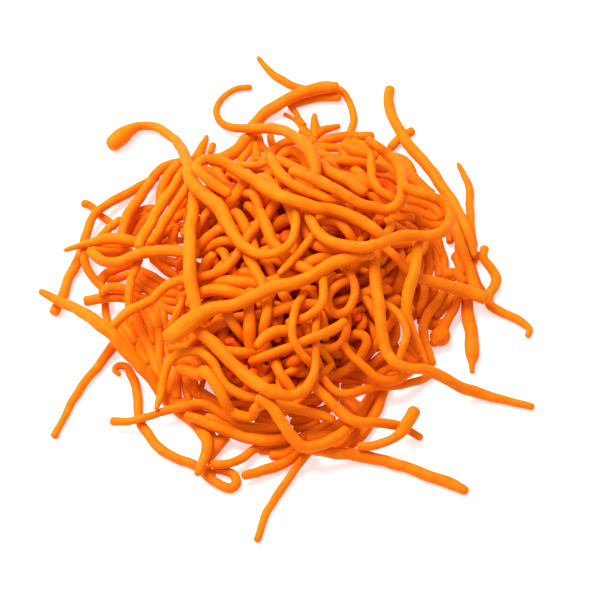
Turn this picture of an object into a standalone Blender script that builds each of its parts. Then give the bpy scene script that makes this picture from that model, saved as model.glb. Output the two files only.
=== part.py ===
"""Cordyceps bunch: a loose heap of long, thin, curly fungus fruiting bodies lying on a flat surface.

Every strand that stands clear of the heap, and every long strand on top of it, is a solid of its own.
The short strands buried in the middle are one low mound with a flat base, which carries the rest.
Lengths are in millimetres until the meshes are written, in metres, with +Z up.

The strands are laid one after another, from the lowest to the highest.  Each route is drawn on a
drafting plane that leans back from the floor by PLANE_LEAN: x runs across and v runs up the slope.
A point of a strand lies somewhere on the line square to that plane through its (x, v), and how far
along it is decided by what the strand rests on: the floor, the mound, or a strand laid before it.
"""

import math

import bmesh
import bpy
import numpy as np
from mathutils import Vector

MM = 0.001
PLANE_LEAN = math.radians(60.0)

# Contact: the clear gap between two strands that touch, and between a strand and the floor.
STRAND_GAP = 0.30
FLOOR_GAP = 0.12

# Strand stiffness: the tightest radius at which a strand drapes over what is under it.
DRAPE_RADIUS = 17.0
DRAPE_SMOOTHING = 3.5
SAMPLE_STEP = 1.0
SETTLE_ROUNDS = 9
SETTLE_BLEND = 0.6

# Tube mesh: sides of a ring, and the most length, turn and width change between two rings.
SIDES = 6
RING_LENGTH = 6.5
RING_TURN = math.radians(30.0)
RING_SWELL = 1.3
END_ROUNDING = 0.55
UNEVENNESS = 0.02

# The mound of buried strands: outline as (x, y) on the floor, height, and the shape of its flank.
MOUND_HEIGHT = 23.0
MOUND_CENTRE = (0.0, 1.0)
MOUND_FLANK = 2.5
MOUND_ROUND = 0.55
MOUND_LEVELS = (1.0, 0.955, 0.86, 0.70, 0.48, 0.24)
MOUND_SAMPLE = 1.3
MOUND_OUTLINE = (
    (-41.0, -16.0), (-41.5, -5.0), (-40.5, 7.0), (-40.5, 18.0), (-40.5, 28.0), (-37.5, 36.0),
    (-31.0, 43.0), (-22.0, 46.5), (-12.0, 49.0), (0.0, 51.0), (11.0, 51.0), (21.0, 48.0),
    (29.0, 43.0), (35.0, 36.0), (39.5, 27.0), (41.0, 16.0), (40.5, 5.0), (38.5, -7.0),
    (34.5, -16.0), (28.0, -22.5), (20.5, -27.5), (13.5, -32.0), (8.0, -40.0), (-1.0, -46.0),
    (-12.0, -45.5), (-23.0, -41.5), (-32.0, -35.0), (-37.5, -26.0),
)

# Strand routes from the lowest to the highest: (x, v, width) along each one.
STRANDS = (
    ("front_left_straggler", (
        (-73.4, -40.6, 2.4), (-71.8, -37.8, 2.3), (-70.1, -34.5, 2.3), (-68.0, -30.0, 2.6),
        (-64.7, -25.0, 2.7), (-60.8, -20.0, 2.9), (-56.9, -15.2, 3.2), (-54.2, -11.8, 3.3))),
    ("left_prop", (
        (-73.6, -3.6, 3.2), (-71.9, 0.0, 3.4), (-69.8, 5.0, 3.3), (-67.5, 10.0, 3.2), (-65.8, 14.3, 3.0))),
    ("left_knob_twig", (
        (-64.8, 29.0, 2.6), (-62.7, 28.2, 2.3), (-60.5, 26.0, 2.2), (-57.8, 24.0, 2.3), (-55.8, 22.3, 2.3))),
    ("left_arch", (
        (-43.5, 36.9, 2.8), (-47.3, 34.7, 2.8), (-51.5, 32.3, 2.8), (-55.9, 29.9, 2.8), (-59.9, 27.2, 2.8),
        (-62.7, 24.0, 2.8), (-64.4, 20.0, 2.8), (-64.9, 15.5, 2.8), (-64.5, 11.5, 2.8), (-63.1, 8.2, 2.6),
        (-60.8, 5.2, 2.6), (-58.6, 3.4, 2.4))),
    ("left_fork_twig", (
        (-54.2, 23.9, 2.6), (-56.7, 22.2, 2.6), (-59.0, 19.9, 2.6), (-61.0, 17.4, 2.4))),
    ("left_bulb_strand", (
        (-36.4, 41.2, 3.2), (-39.6, 40.6, 3.0), (-42.6, 38.4, 3.0), (-45.1, 35.1, 3.1), (-47.4, 31.8, 3.0),
        (-50.1, 28.4, 3.2), (-51.9, 25.2, 3.2), (-53.1, 21.8, 3.0), (-53.6, 18.6, 2.8))),
    ("fan_strand_a", (
        (-36.5, 41.0, 3.0), (-39.0, 38.0, 3.2), (-41.0, 34.5, 3.2), (-41.8, 31.0, 3.0), (-42.5, 27.5, 2.6))),
    ("left_pointed_strand", (
        (-69.6, 15.2, 1.6), (-66.5, 16.1, 2.0), (-63.0, 17.3, 2.6), (-59.5, 18.2, 3.2), (-55.0, 18.3, 3.6),
        (-51.5, 17.7, 3.8), (-48.8, 17.2, 3.4))),
    ("fan_strand_b", (
        (-35.0, 39.0, 2.8), (-37.5, 35.0, 3.0), (-40.2, 31.0, 3.2), (-42.6, 27.0, 3.4), (-44.8, 22.8, 3.4),
        (-47.0, 19.0, 3.4), (-48.2, 16.0, 3.2))),
    ("fan_strand_c", (
        (-33.5, 34.5, 2.8), (-36.0, 30.5, 3.0), (-38.3, 27.0, 3.0), (-40.5, 23.7, 3.0), (-42.8, 20.3, 3.0),
        (-44.6, 17.5, 2.8))),
    ("left_drop_twig", (
        (-57.8, 1.0, 2.4), (-58.3, -1.3, 2.4), (-58.2, -4.3, 2.3), (-57.3, -7.5, 2.3))),
    ("left_stub_strand", (
        (-64.2, -0.4, 3.0), (-61.0, 0.1, 3.3), (-57.5, 0.7, 3.0), (-54.0, 0.6, 2.8), (-51.5, 0.2, 2.6))),
    ("left_low_arch", (
        (-59.3, 2.2, 2.4), (-57.3, 3.6, 2.7), (-54.5, 3.9, 2.8), (-51.5, 3.0, 2.6))),
    ("left_short_upright", (
        (-48.3, 12.0, 2.6), (-49.6, 9.0, 2.6), (-50.7, 6.0, 2.7), (-51.1, 3.0, 2.7), (-51.1, 0.0, 2.7),
        (-50.9, -2.8, 2.6))),
    ("left_low_diagonal", (
        (-56.3, -8.2, 2.8), (-53.8, -5.6, 3.0), (-51.1, -3.3, 3.0), (-47.5, -1.7, 3.0), (-44.3, 0.2, 3.0),
        (-41.5, 2.8, 3.0), (-38.5, 4.9, 3.0), (-35.5, 5.9, 2.8), (-33.0, 6.1, 2.8))),
    ("left_crossing_strand", (
        (-62.8, 14.5, 3.0), (-60.4, 12.6, 3.2), (-57.3, 11.2, 3.2), (-53.9, 11.3, 3.3), (-50.3, 12.9, 3.4),
        (-46.5, 14.1, 3.8), (-42.5, 14.6, 3.7), (-38.5, 14.7, 3.5), (-34.0, 14.4, 3.4), (-31.5, 14.2, 3.2))),
    ("front_left_loop", (
        (-54.2, -22.2, 1.4), (-55.4, -20.9, 2.0), (-54.5, -19.8, 2.4), (-52.1, -19.9, 2.6), (-50.5, -22.5, 2.9),
        (-49.2, -26.0, 2.9), (-48.5, -30.0, 2.9), (-48.1, -34.0, 2.9), (-47.0, -37.6, 3.0), (-44.8, -41.2, 3.0),
        (-41.7, -44.4, 3.1), (-37.8, -46.8, 3.1), (-34.0, -48.4, 3.0), (-31.0, -49.6, 3.0), (-28.4, -51.5, 2.9),
        (-25.8, -53.8, 3.0), (-22.8, -55.6, 3.0), (-20.2, -56.1, 3.0), (-19.0, -54.6, 3.0), (-19.7, -52.2, 2.8),
        (-22.5, -51.0, 2.6), (-25.0, -50.6, 2.4))),
    ("front_left_branch", (
        (-26.5, -48.9, 2.6), (-23.0, -49.0, 2.6), (-19.5, -48.1, 2.7), (-16.0, -46.2, 2.8), (-12.5, -44.3, 2.8),
        (-8.0, -43.3, 2.8), (-4.0, -42.6, 2.6))),
    ("front_low_branch", (
        (-16.3, -52.3, 2.9), (-13.0, -51.6, 3.2), (-9.5, -50.6, 3.2), (-5.5, -48.8, 3.2), (-2.3, -47.0, 3.2),
        (0.5, -45.0, 3.0))),
    ("front_left_diagonal", (
        (-77.5, 2.5, 2.0), (-75.3, 1.3, 2.6), (-72.0, -0.4, 3.0), (-67.9, -2.3, 3.3), (-63.8, -4.6, 3.7),
        (-59.8, -7.4, 4.0), (-56.1, -10.6, 4.0), (-52.6, -14.3, 4.0), (-49.2, -18.1, 3.9), (-45.7, -22.4, 3.8),
        (-42.3, -26.6, 3.8), (-39.0, -30.3, 3.8), (-35.4, -33.6, 3.6), (-31.7, -36.6, 3.6), (-28.8, -39.8, 3.8),
        (-27.8, -43.8, 3.6), (-28.6, -47.2, 3.1), (-30.0, -50.2, 2.4), (-30.6, -51.7, 2.0))),
    ("front_left_runner", (
        (-55.8, -36.3, 2.6), (-52.5, -36.3, 2.5), (-49.0, -35.7, 2.4), (-45.0, -34.7, 2.4), (-41.0, -33.5, 2.6),
        (-37.0, -32.3, 2.8), (-33.0, -31.5, 3.0), (-29.5, -31.3, 3.0), (-26.0, -32.4, 3.0), (-23.0, -34.3, 3.0),
        (-19.5, -36.3, 3.0), (-15.5, -37.8, 3.0), (-11.0, -38.4, 3.0), (-7.0, -38.2, 3.0), (-4.0, -37.4, 2.8))),
    ("front_sweep_strand", (
        (-33.5, -34.6, 2.6), (-30.0, -35.8, 3.0), (-26.0, -37.5, 3.3), (-21.5, -39.5, 3.3), (-17.0, -41.1, 3.3),
        (-12.5, -41.9, 3.3), (-8.0, -41.8, 3.2), (-4.0, -41.0, 3.0), (-2.0, -40.4, 2.8))),
    ("left_curl_strand", (
        (-42.9, -32.3, 1.5), (-42.1, -30.2, 2.2), (-41.3, -26.5, 2.6), (-40.8, -22.8, 2.7), (-39.5, -19.3, 2.8),
        (-37.3, -16.7, 2.8), (-33.8, -15.5, 2.8), (-30.0, -15.6, 2.8), (-27.3, -17.2, 2.9), (-25.5, -20.0, 2.9),
        (-24.0, -23.3, 3.0), (-21.5, -26.2, 3.0), (-17.5, -28.0, 3.0), (-13.0, -29.0, 3.0), (-8.5, -30.3, 3.0),
        (-4.0, -31.7, 3.0), (0.5, -32.9, 3.0), (5.0, -34.1, 3.0), (9.5, -35.6, 2.8))),
    ("left_inner_snake", (
        (-36.0, -20.4, 3.6), (-33.5, -21.2, 4.0), (-30.3, -22.2, 3.8), (-27.7, -24.2, 3.6), (-25.6, -27.0, 3.4),
        (-23.8, -30.2, 3.4), (-21.2, -33.0, 3.3), (-17.8, -34.5, 3.2), (-14.0, -34.6, 3.1), (-10.5, -33.8, 3.0),
        (-8.0, -33.2, 2.8))),
    ("front_straggler", (
        (3.5, -44.5, 2.6), (1.3, -47.0, 2.6), (-1.1, -50.2, 2.5), (-3.7, -53.6, 2.6), (-6.3, -57.2, 2.7),
        (-8.8, -61.2, 2.6), (-10.6, -65.3, 2.5), (-12.0, -69.3, 2.4), (-12.7, -71.3, 2.2))),
    ("front_right_straggler", (
        (0.0, -44.1, 3.0), (4.0, -44.8, 3.3), (9.0, -45.4, 3.6), (14.0, -46.0, 3.7), (19.0, -46.7, 3.8),
        (24.0, -47.7, 3.7), (30.0, -49.5, 3.6), (36.0, -51.5, 3.6), (42.0, -53.6, 3.6), (46.8, -55.6, 3.3),
        (49.1, -56.7, 3.0))),
    ("front_right_prop", (
        (25.6, -26.0, 3.2), (23.9, -30.0, 3.3), (22.1, -34.0, 3.3), (20.3, -38.0, 3.3), (18.1, -41.0, 3.2),
        (15.1, -43.0, 3.0))),
    ("front_hook_strand", (
        (-12.3, -29.6, 3.0), (-9.2, -31.6, 3.2), (-6.7, -34.3, 3.4), (-4.6, -37.8, 3.5), (-2.2, -41.2, 3.6),
        (1.0, -43.3, 3.5), (4.8, -43.4, 3.5), (8.5, -42.3, 3.4), (12.0, -40.5, 3.4), (14.5, -38.2, 3.2),
        (15.5, -36.0, 3.0))),
    ("front_right_tail", (
        (3.5, -24.8, 3.0), (5.5, -27.0, 3.2), (8.5, -29.8, 3.3), (11.5, -33.0, 3.3), (14.3, -35.6, 3.3),
        (18.0, -36.3, 3.3), (22.5, -36.4, 3.2), (27.0, -37.0, 3.2), (31.0, -38.3, 2.8), (34.0, -39.9, 2.4),
        (35.8, -41.0, 2.2))),
    ("front_right_club", (
        (33.9, -33.5, 4.0), (32.5, -35.9, 4.2), (31.0, -38.6, 3.8), (28.2, -41.2, 3.0), (24.5, -42.8, 2.8),
        (20.5, -43.6, 2.6), (18.0, -43.7, 2.4))),
    ("right_low_crescent", (
        (7.3, -23.8, 2.6), (9.5, -26.6, 2.8), (13.0, -28.2, 2.9), (17.0, -27.7, 2.8), (21.0, -26.2, 2.7),
        (25.0, -25.8, 2.4), (30.0, -25.5, 2.4), (35.0, -24.4, 2.4), (39.5, -22.2, 2.3))),
    ("right_inner_crescent", (
        (13.2, -13.5, 2.4), (15.2, -16.5, 2.5), (18.3, -19.2, 2.6), (21.3, -21.8, 2.8), (24.3, -23.8, 2.9),
        (28.0, -24.0, 2.9), (31.5, -22.6, 2.6), (34.5, -20.8, 2.4))),
    ("middle_hook_strand", (
        (-31.2, -8.8, 3.4), (-27.0, -12.0, 3.9), (-23.0, -16.0, 4.0), (-19.0, -20.0, 4.0), (-15.5, -23.4, 4.0),
        (-12.0, -26.2, 3.9), (-8.0, -28.1, 3.7), (-4.0, -28.7, 3.5), (-0.5, -27.8, 3.2), (2.2, -25.6, 3.0),
        (3.9, -22.5, 2.8), (4.7, -19.0, 2.6), (4.9, -15.0, 2.4), (4.8, -11.0, 2.3), (4.8, -7.5, 2.2),
        (5.1, -4.8, 2.1))),
    ("right_tip_strand", (
        (48.0, 40.2, 1.6), (49.2, 37.8, 2.0), (50.7, 34.5, 2.4), (51.4, 30.5, 2.6), (51.1, 26.5, 2.6),
        (51.2, 23.0, 2.6), (51.6, 19.5, 2.4), (52.3, 16.5, 2.2))),
    ("back_right_strand", (
        (27.0, 63.4, 3.3), (26.7, 60.3, 3.1), (27.5, 56.6, 3.2), (29.3, 52.3, 3.4), (31.9, 48.0, 3.5),
        (35.5, 43.5, 3.5), (39.5, 38.7, 3.5), (42.8, 34.4, 3.5), (45.5, 30.1, 3.5), (47.7, 26.0, 3.4),
        (49.6, 21.8, 3.2), (51.0, 17.6, 3.0), (52.3, 13.5, 2.6))),
    ("right_knot_strand", (
        (55.4, 15.2, 3.0), (55.1, 12.9, 2.8), (57.0, 9.9, 2.9), (58.5, 6.8, 3.0), (58.3, 4.0, 3.0),
        (56.9, 1.5, 3.0), (57.0, -1.1, 3.0), (59.7, -3.1, 3.0), (63.7, -5.2, 2.8), (67.2, -7.1, 2.5),
        (68.9, -9.0, 2.2), (68.3, -10.5, 2.0))),
    ("right_hanging_club", (
        (50.0, 1.8, 3.4), (50.2, -3.0, 4.0), (50.7, -8.0, 4.2), (51.4, -13.0, 4.1), (51.8, -17.2, 3.8),
        (51.6, -18.8, 2.4), (51.5, -21.5, 1.5))),
    ("right_button_strand", (
        (47.6, 0.5, 2.4), (46.3, -3.0, 2.7), (44.4, -6.0, 2.8), (43.0, -8.4, 3.6), (42.0, -10.5, 6.2),
        (40.9, -12.0, 5.4), (40.2, -12.8, 3.0))),
    ("right_inner_strand", (
        (43.5, 3.0, 2.6), (41.0, -0.8, 3.0), (38.6, -4.0, 3.0), (37.0, -7.5, 3.0), (37.1, -11.0, 3.0),
        (38.1, -15.0, 3.0), (39.3, -18.8, 3.0))),
    ("right_side_strand", (
        (43.6, 28.5, 3.0), (45.4, 24.8, 3.1), (47.2, 20.0, 3.1), (48.9, 15.0, 3.1), (50.5, 10.0, 3.2),
        (51.9, 5.5, 3.3), (53.0, 2.0, 3.2))),
    ("right_fat_end_strand", (
        (23.5, 16.0, 2.6), (26.5, 14.5, 2.7), (29.5, 11.8, 2.8), (32.5, 8.8, 3.0), (36.0, 6.8, 3.3),
        (40.0, 5.4, 3.6), (44.0, 4.2, 3.8), (48.0, 3.2, 3.8), (52.0, 1.9, 3.9), (55.0, 0.8, 4.0))),
    ("right_tapered_strand", (
        (35.6, 17.5, 3.4), (34.9, 14.0, 3.5), (34.2, 10.0, 3.5), (33.3, 5.0, 3.6), (32.2, 0.5, 3.5),
        (31.9, -3.0, 3.2), (32.8, -7.0, 2.8), (34.5, -11.0, 2.4), (36.3, -15.0, 1.9), (37.6, -18.0, 1.3))),
    ("right_inner_curve", (
        (24.3, -1.0, 2.3), (27.5, -2.4, 2.4), (30.3, -5.0, 2.4), (31.6, -8.6, 2.4), (31.3, -12.0, 2.3),
        (30.2, -15.5, 2.2), (29.5, -18.0, 2.0))),
    ("right_long_strand", (
        (22.6, 15.0, 3.4), (22.4, 10.0, 3.5), (22.7, 5.0, 3.6), (23.3, 0.0, 3.6), (23.9, -5.0, 3.7),
        (24.5, -10.0, 3.7), (25.7, -15.0, 3.4), (28.0, -18.4, 3.3), (32.0, -20.0, 3.2), (36.0, -20.5, 3.2),
        (40.0, -21.8, 3.5), (45.0, -24.5, 3.6), (50.0, -26.7, 3.5), (55.0, -28.3, 3.3), (60.0, -29.5, 2.9),
        (65.0, -30.8, 2.5), (69.3, -31.9, 2.1))),
    ("back_tip_strand", (
        (-12.0, 72.4, 1.8), (-10.0, 69.8, 2.2), (-7.3, 67.5, 2.5), (-4.0, 65.5, 2.5), (-0.5, 64.1, 2.3),
        (3.0, 63.4, 2.2))),
    ("back_right_drop", (
        (11.5, 63.8, 2.2), (13.8, 62.0, 2.3), (15.5, 58.8, 2.3), (16.0, 55.3, 2.3), (15.5, 51.5, 2.3),
        (14.3, 48.5, 2.3), (13.0, 46.3, 2.2))),
    ("back_arch_under", (
        (-2.3, 58.6, 2.0), (1.0, 59.4, 2.0), (5.0, 60.7, 2.4), (8.5, 61.3, 2.8), (11.3, 61.3, 3.0))),
    ("back_arch", (
        (-14.5, 52.2, 3.4), (-12.0, 54.9, 3.7), (-8.5, 57.7, 3.8), (-4.5, 60.0, 3.8), (0.0, 62.0, 3.8),
        (4.0, 63.3, 3.8), (8.0, 64.2, 3.7), (11.0, 64.3, 3.2))),
    ("left_upright_strand", (
        (-31.8, 32.0, 3.4), (-32.0, 27.0, 3.5), (-32.9, 21.0, 3.7), (-33.1, 15.0, 3.9), (-33.0, 10.0, 4.1),
        (-32.5, 5.0, 4.1), (-31.6, 0.0, 3.8), (-30.8, -3.5, 3.6))),
    ("middle_club_strand", (
        (-38.5, -10.8, 5.6), (-35.8, -8.8, 6.0), (-32.8, -6.4, 5.4), (-29.5, -4.0, 4.6), (-25.5, -2.7, 4.1),
        (-20.5, -1.8, 3.9), (-15.5, 0.2, 3.9), (-10.5, 2.7, 4.0), (-5.0, 4.5, 4.0), (0.0, 5.7, 4.0),
        (5.0, 8.0, 4.0), (9.5, 10.5, 4.0), (14.0, 12.3, 4.0), (18.5, 13.3, 3.8), (21.0, 13.6, 3.6))),
    ("top_left_hook", (
        (-56.2, 47.4, 5.0), (-53.9, 49.2, 5.4), (-51.2, 51.1, 4.2), (-48.0, 52.5, 2.9), (-44.0, 52.4, 2.7),
        (-40.0, 50.2, 2.9), (-37.0, 47.3, 3.1), (-34.8, 44.0, 3.3), (-33.6, 40.5, 3.6), (-33.0, 37.0, 4.0),
        (-31.0, 33.8, 4.4), (-27.5, 30.4, 4.5), (-24.0, 27.0, 4.4), (-21.3, 22.5, 4.0), (-18.5, 17.8, 3.6),
        (-15.0, 14.8, 3.2), (-10.5, 13.6, 3.0), (-6.0, 14.3, 2.9), (-2.9, 17.0, 2.8), (-1.5, 20.5, 2.7),
        (-1.2, 24.0, 2.6), (-1.4, 26.8, 2.5))),
    ("upper_inner_strand", (
        (-8.0, 41.3, 2.8), (-6.8, 38.8, 3.4), (-4.0, 36.0, 3.5), (-0.5, 33.8, 3.5), (3.5, 32.0, 3.4),
        (7.5, 30.6, 3.2), (10.0, 29.8, 2.8))),
    ("notched_strand", (
        (5.5, 40.3, 3.2), (9.0, 38.6, 3.6), (12.5, 36.6, 3.7), (16.0, 34.5, 3.7), (19.0, 32.6, 3.4))),
    ("loop_inner_strand", (
        (20.8, 47.5, 2.6), (21.2, 43.5, 2.7), (21.6, 39.5, 2.7), (21.6, 36.0, 2.7), (23.2, 33.3, 2.7),
        (25.8, 31.4, 2.7), (28.5, 30.0, 2.6))),
    ("back_curl_strand", (
        (-15.2, 64.2, 1.9), (-18.5, 63.8, 2.0), (-21.7, 62.4, 2.0), (-24.2, 60.1, 2.0), (-25.4, 57.1, 2.0),
        (-24.6, 54.4, 2.2), (-22.0, 52.5, 2.4), (-18.0, 51.7, 2.8), (-13.0, 51.7, 3.1), (-8.0, 51.6, 3.3),
        (-3.8, 50.2, 3.5), (0.2, 47.8, 3.8), (3.0, 44.4, 4.0), (4.5, 40.8, 3.9), (4.6, 38.0, 3.7))),
    ("top_right_hook", (
        (-2.2, 38.4, 3.0), (1.5, 37.2, 3.3), (5.5, 35.6, 3.5), (9.5, 33.6, 3.5), (13.5, 31.2, 3.5),
        (17.5, 29.2, 3.4), (21.0, 28.0, 3.4), (25.0, 26.9, 3.4), (28.5, 27.6, 3.5), (30.3, 30.2, 3.5),
        (30.6, 34.0, 3.4), (30.2, 38.0, 3.4), (29.0, 41.4, 3.3), (26.0, 43.9, 3.2), (23.0, 45.5, 3.0),
        (20.8, 47.0, 2.8))),
    ("long_hairpin_strand", (
        (-21.8, 32.0, 3.0), (-23.8, 33.2, 3.3), (-26.5, 35.2, 3.4), (-29.4, 37.5, 3.4), (-31.0, 40.0, 3.2),
        (-28.8, 42.0, 3.2), (-25.0, 41.7, 3.4), (-20.0, 39.6, 3.7), (-15.0, 36.5, 3.8), (-10.0, 33.4, 3.9),
        (-5.0, 30.6, 3.9), (0.0, 28.9, 3.9), (5.0, 27.6, 3.8), (10.0, 26.8, 3.8), (15.0, 25.2, 3.8),
        (19.0, 23.2, 3.7), (22.3, 21.0, 3.6), (24.5, 19.0, 3.4))),
    ("top_middle_loop", (
        (3.2, 23.8, 3.0), (4.8, 21.0, 3.3), (7.2, 18.6, 3.4), (10.3, 17.0, 3.5), (14.0, 16.2, 3.5),
        (18.0, 15.7, 3.5), (22.0, 16.2, 3.5), (26.0, 17.6, 3.5), (30.0, 18.9, 3.5), (34.0, 19.4, 3.5),
        (38.0, 19.1, 3.5), (41.5, 19.8, 3.5), (44.1, 21.8, 3.5), (44.9, 25.0, 3.5), (43.8, 28.0, 3.5),
        (41.3, 30.2, 3.5), (38.0, 31.4, 3.4), (34.5, 32.6, 3.3), (31.5, 33.8, 3.0))),
)

# Colours (linear): an orange flesh that is a little redder or yellower from strand to strand.
FLESH_RED = 0.93
FLESH_GREEN = (0.19, 0.25)
FLESH_BLUE = 0.016
FLESH_ROUGHNESS = 0.55
FLESH_IOR = 1.42
MOUND_COLOUR = (0.78, 0.10, 0.008)


def flesh_material(name, colour):
    """A Principled material for one piece."""
    material = bpy.data.materials.new(name)
    material.use_nodes = True
    shader = material.node_tree.nodes["Principled BSDF"]
    shader.inputs["Base Color"].default_value = (*colour, 1.0)
    shader.inputs["Roughness"].default_value = FLESH_ROUGHNESS
    shader.inputs["IOR"].default_value = FLESH_IOR
    return material


def add_object(name, bm, material):
    """Write a bmesh as an object of the scene."""
    bmesh.ops.recalc_face_normals(bm, faces=bm.faces[:])
    mesh = bpy.data.meshes.new(name)
    bm.to_mesh(mesh)
    bm.free()
    mesh.materials.append(material)
    obj = bpy.data.objects.new(name, mesh)
    bpy.context.scene.collection.objects.link(obj)
    return obj


def smooth_route(points):
    """A fine polyline through the route points: cubic Hermite pieces with chord-length tangents."""
    points = np.array(points)
    chord = np.linalg.norm(np.diff(points[:, :2], axis=0), axis=1)
    at = np.concatenate(([0.0], np.cumsum(chord)))
    slope = np.gradient(points, at, axis=0)
    fine = []
    for k in range(len(chord)):
        t = np.linspace(0.0, 1.0, 24, endpoint=False)[:, None]
        h = chord[k]
        fine.append(
            (2 * t**3 - 3 * t**2 + 1) * points[k]
            + (t**3 - 2 * t**2 + t) * h * slope[k]
            + (3 * t**2 - 2 * t**3) * points[k + 1]
            + (t**3 - t**2) * h * slope[k + 1]
        )
    fine.append(points[-1:])
    return np.concatenate(fine)


def ring_stations(route):
    """Choose ring places on a fine route, closer together where it bends or swells."""
    step = np.diff(route, axis=0)
    length = np.linalg.norm(step[:, :2], axis=1)
    heading = np.unwrap(np.arctan2(step[:, 1], step[:, 0]))
    turn = np.abs(np.diff(heading, prepend=heading[0]))
    swell = np.abs(step[:, 2])
    cost = length / RING_LENGTH + turn / RING_TURN + swell / RING_SWELL
    total = np.concatenate(([0.0], np.cumsum(cost)))
    count = max(4, math.ceil(total[-1]) + 1)
    wanted = np.linspace(0.0, total[-1], count)
    return np.stack([np.interp(wanted, total, route[:, i]) for i in range(3)], axis=1)


def plane_to_space(x, v, z):
    """The point at height z on the line square to the drafting plane through (x, v)."""
    y = (v - z * math.cos(PLANE_LEAN)) / math.sin(PLANE_LEAN)
    return np.stack([x, y, z], axis=1)


def along_segments(centres, radii):
    """Samples along the straight segments between rings: segment, share of it, centre and radius."""
    segment = []
    share = []
    for k in range(len(centres) - 1):
        pieces = max(1, math.ceil(np.linalg.norm(centres[k + 1] - centres[k]) / SAMPLE_STEP))
        segment.extend([k] * pieces)
        share.extend(np.arange(pieces) / pieces)
    segment.append(len(centres) - 2)
    share.append(1.0)
    segment = np.array(segment)
    share = np.array(share)
    point = centres[segment] + (centres[segment + 1] - centres[segment]) * share[:, None]
    radius = radii[segment] + (radii[segment + 1] - radii[segment]) * share
    return segment, share, point, radius


def height_needed(point, radius, laid, laid_radius):
    """How high each sample must be to clear the floor and everything laid so far."""
    need = radius + FLOOR_GAP
    low = point[:, :2].min(axis=0) - 8.0
    high = point[:, :2].max(axis=0) + 8.0
    near = np.all((laid[:, :2] > low) & (laid[:, :2] < high), axis=1)
    laid = laid[near]
    laid_radius = laid_radius[near]
    if len(laid) == 0:
        return need
    reach = radius[:, None] + laid_radius[None, :] + STRAND_GAP
    dx = point[:, 0][:, None] - laid[:, 0][None, :]
    dy = point[:, 1][:, None] - laid[:, 1][None, :]
    rise = reach**2 - dx**2 - dy**2
    top = np.where(rise > 0.0, laid[:, 2][None, :] + np.sqrt(np.maximum(rise, 0.0)), 0.0)
    return np.maximum(need, top.max(axis=1))


def drape(arc, need):
    """The lowest stiff curve over the needed heights: it never bends tighter than DRAPE_RADIUS."""
    gap = arc[:, None] - arc[None, :]
    fall = gap**2 / (2.0 * DRAPE_RADIUS)
    held = (need[None, :] - fall).max(axis=1)
    weight = np.exp(-0.5 * (gap / DRAPE_SMOOTHING) ** 2)
    eased = (weight * held[None, :]).sum(axis=1) / weight.sum(axis=1)
    short = np.maximum(need - eased, 0.0)
    return eased + (short[None, :] - fall).max(axis=1).clip(min=0.0)


def lay_strand(stations, laid, laid_radius):
    """Ring centres of one strand, resting on the floor, the mound and the strands below."""
    radii = stations[:, 2] * 0.5
    z = radii + FLOOR_GAP
    for _ in range(SETTLE_ROUNDS):
        centres = plane_to_space(stations[:, 0], stations[:, 1], z)
        segment, share, point, radius = along_segments(centres, radii)
        need = height_needed(point, radius, laid, laid_radius)
        step = np.linalg.norm(np.diff(point[:, :2], axis=0), axis=1)
        arc = np.concatenate(([0.0], np.cumsum(step)))
        held = drape(arc, need)
        ring_arc = np.interp(np.arange(len(radii)), segment + share, arc)
        z = z + SETTLE_BLEND * (np.interp(ring_arc, arc, held) - z)
    centres = plane_to_space(stations[:, 0], stations[:, 1], z)
    segment, share, point, radius = along_segments(centres, radii)
    short = height_needed(point, radius, laid, laid_radius) - point[:, 2]
    lift = np.zeros(len(radii))
    for k, amount in zip(segment, short):
        if amount > 0.0:
            lift[k] = max(lift[k], amount)
            lift[k + 1] = max(lift[k + 1], amount)
    centres[:, 2] += lift
    return centres


def ring_axes(centres):
    """Per ring, the two directions it is drawn in: one level with the floor and one close to up."""
    tangent = np.gradient(centres, axis=0)
    tangent /= np.linalg.norm(tangent, axis=1)[:, None]
    level = np.cross(tangent, (0.0, 0.0, 1.0))
    level /= np.linalg.norm(level, axis=1)[:, None]
    return tangent, level, np.cross(level, tangent)


def build_strand(name, centres, radii, shift, material):
    """A closed tube: rings of SIDES vertices with a rounded point at each end."""
    tangent, level, upward = ring_axes(centres)
    bm = bmesh.new()
    rings = []
    for k in range(len(centres)):
        radius = radii[k] * (1.0 - UNEVENNESS * (1.0 + math.sin(2.1 * k)) * 0.5)
        ring = []
        for side in range(SIDES):
            angle = 2.0 * math.pi * (side + 0.25 * SIDES) / SIDES
            offset = level[k] * math.cos(angle) + upward[k] * math.sin(angle)
            ring.append(bm.verts.new(Vector(centres[k] + offset * radius + shift) * MM))
        rings.append(ring)
    for low, high in zip(rings, rings[1:]):
        for side in range(SIDES):
            bm.faces.new((low[side], low[(side + 1) % SIDES], high[(side + 1) % SIDES], high[side]))
    for ring, centre, outward, radius in (
        (rings[0], centres[0], -tangent[0], radii[0]),
        (rings[-1], centres[-1], tangent[-1], radii[-1]),
    ):
        tip = bm.verts.new(Vector(centre + outward * radius * END_ROUNDING + shift) * MM)
        for side in range(SIDES):
            bm.faces.new((ring[side], ring[(side + 1) % SIDES], tip))
    bmesh.ops.triangulate(bm, faces=bm.faces[:])
    return add_object(name, bm, material)


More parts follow.
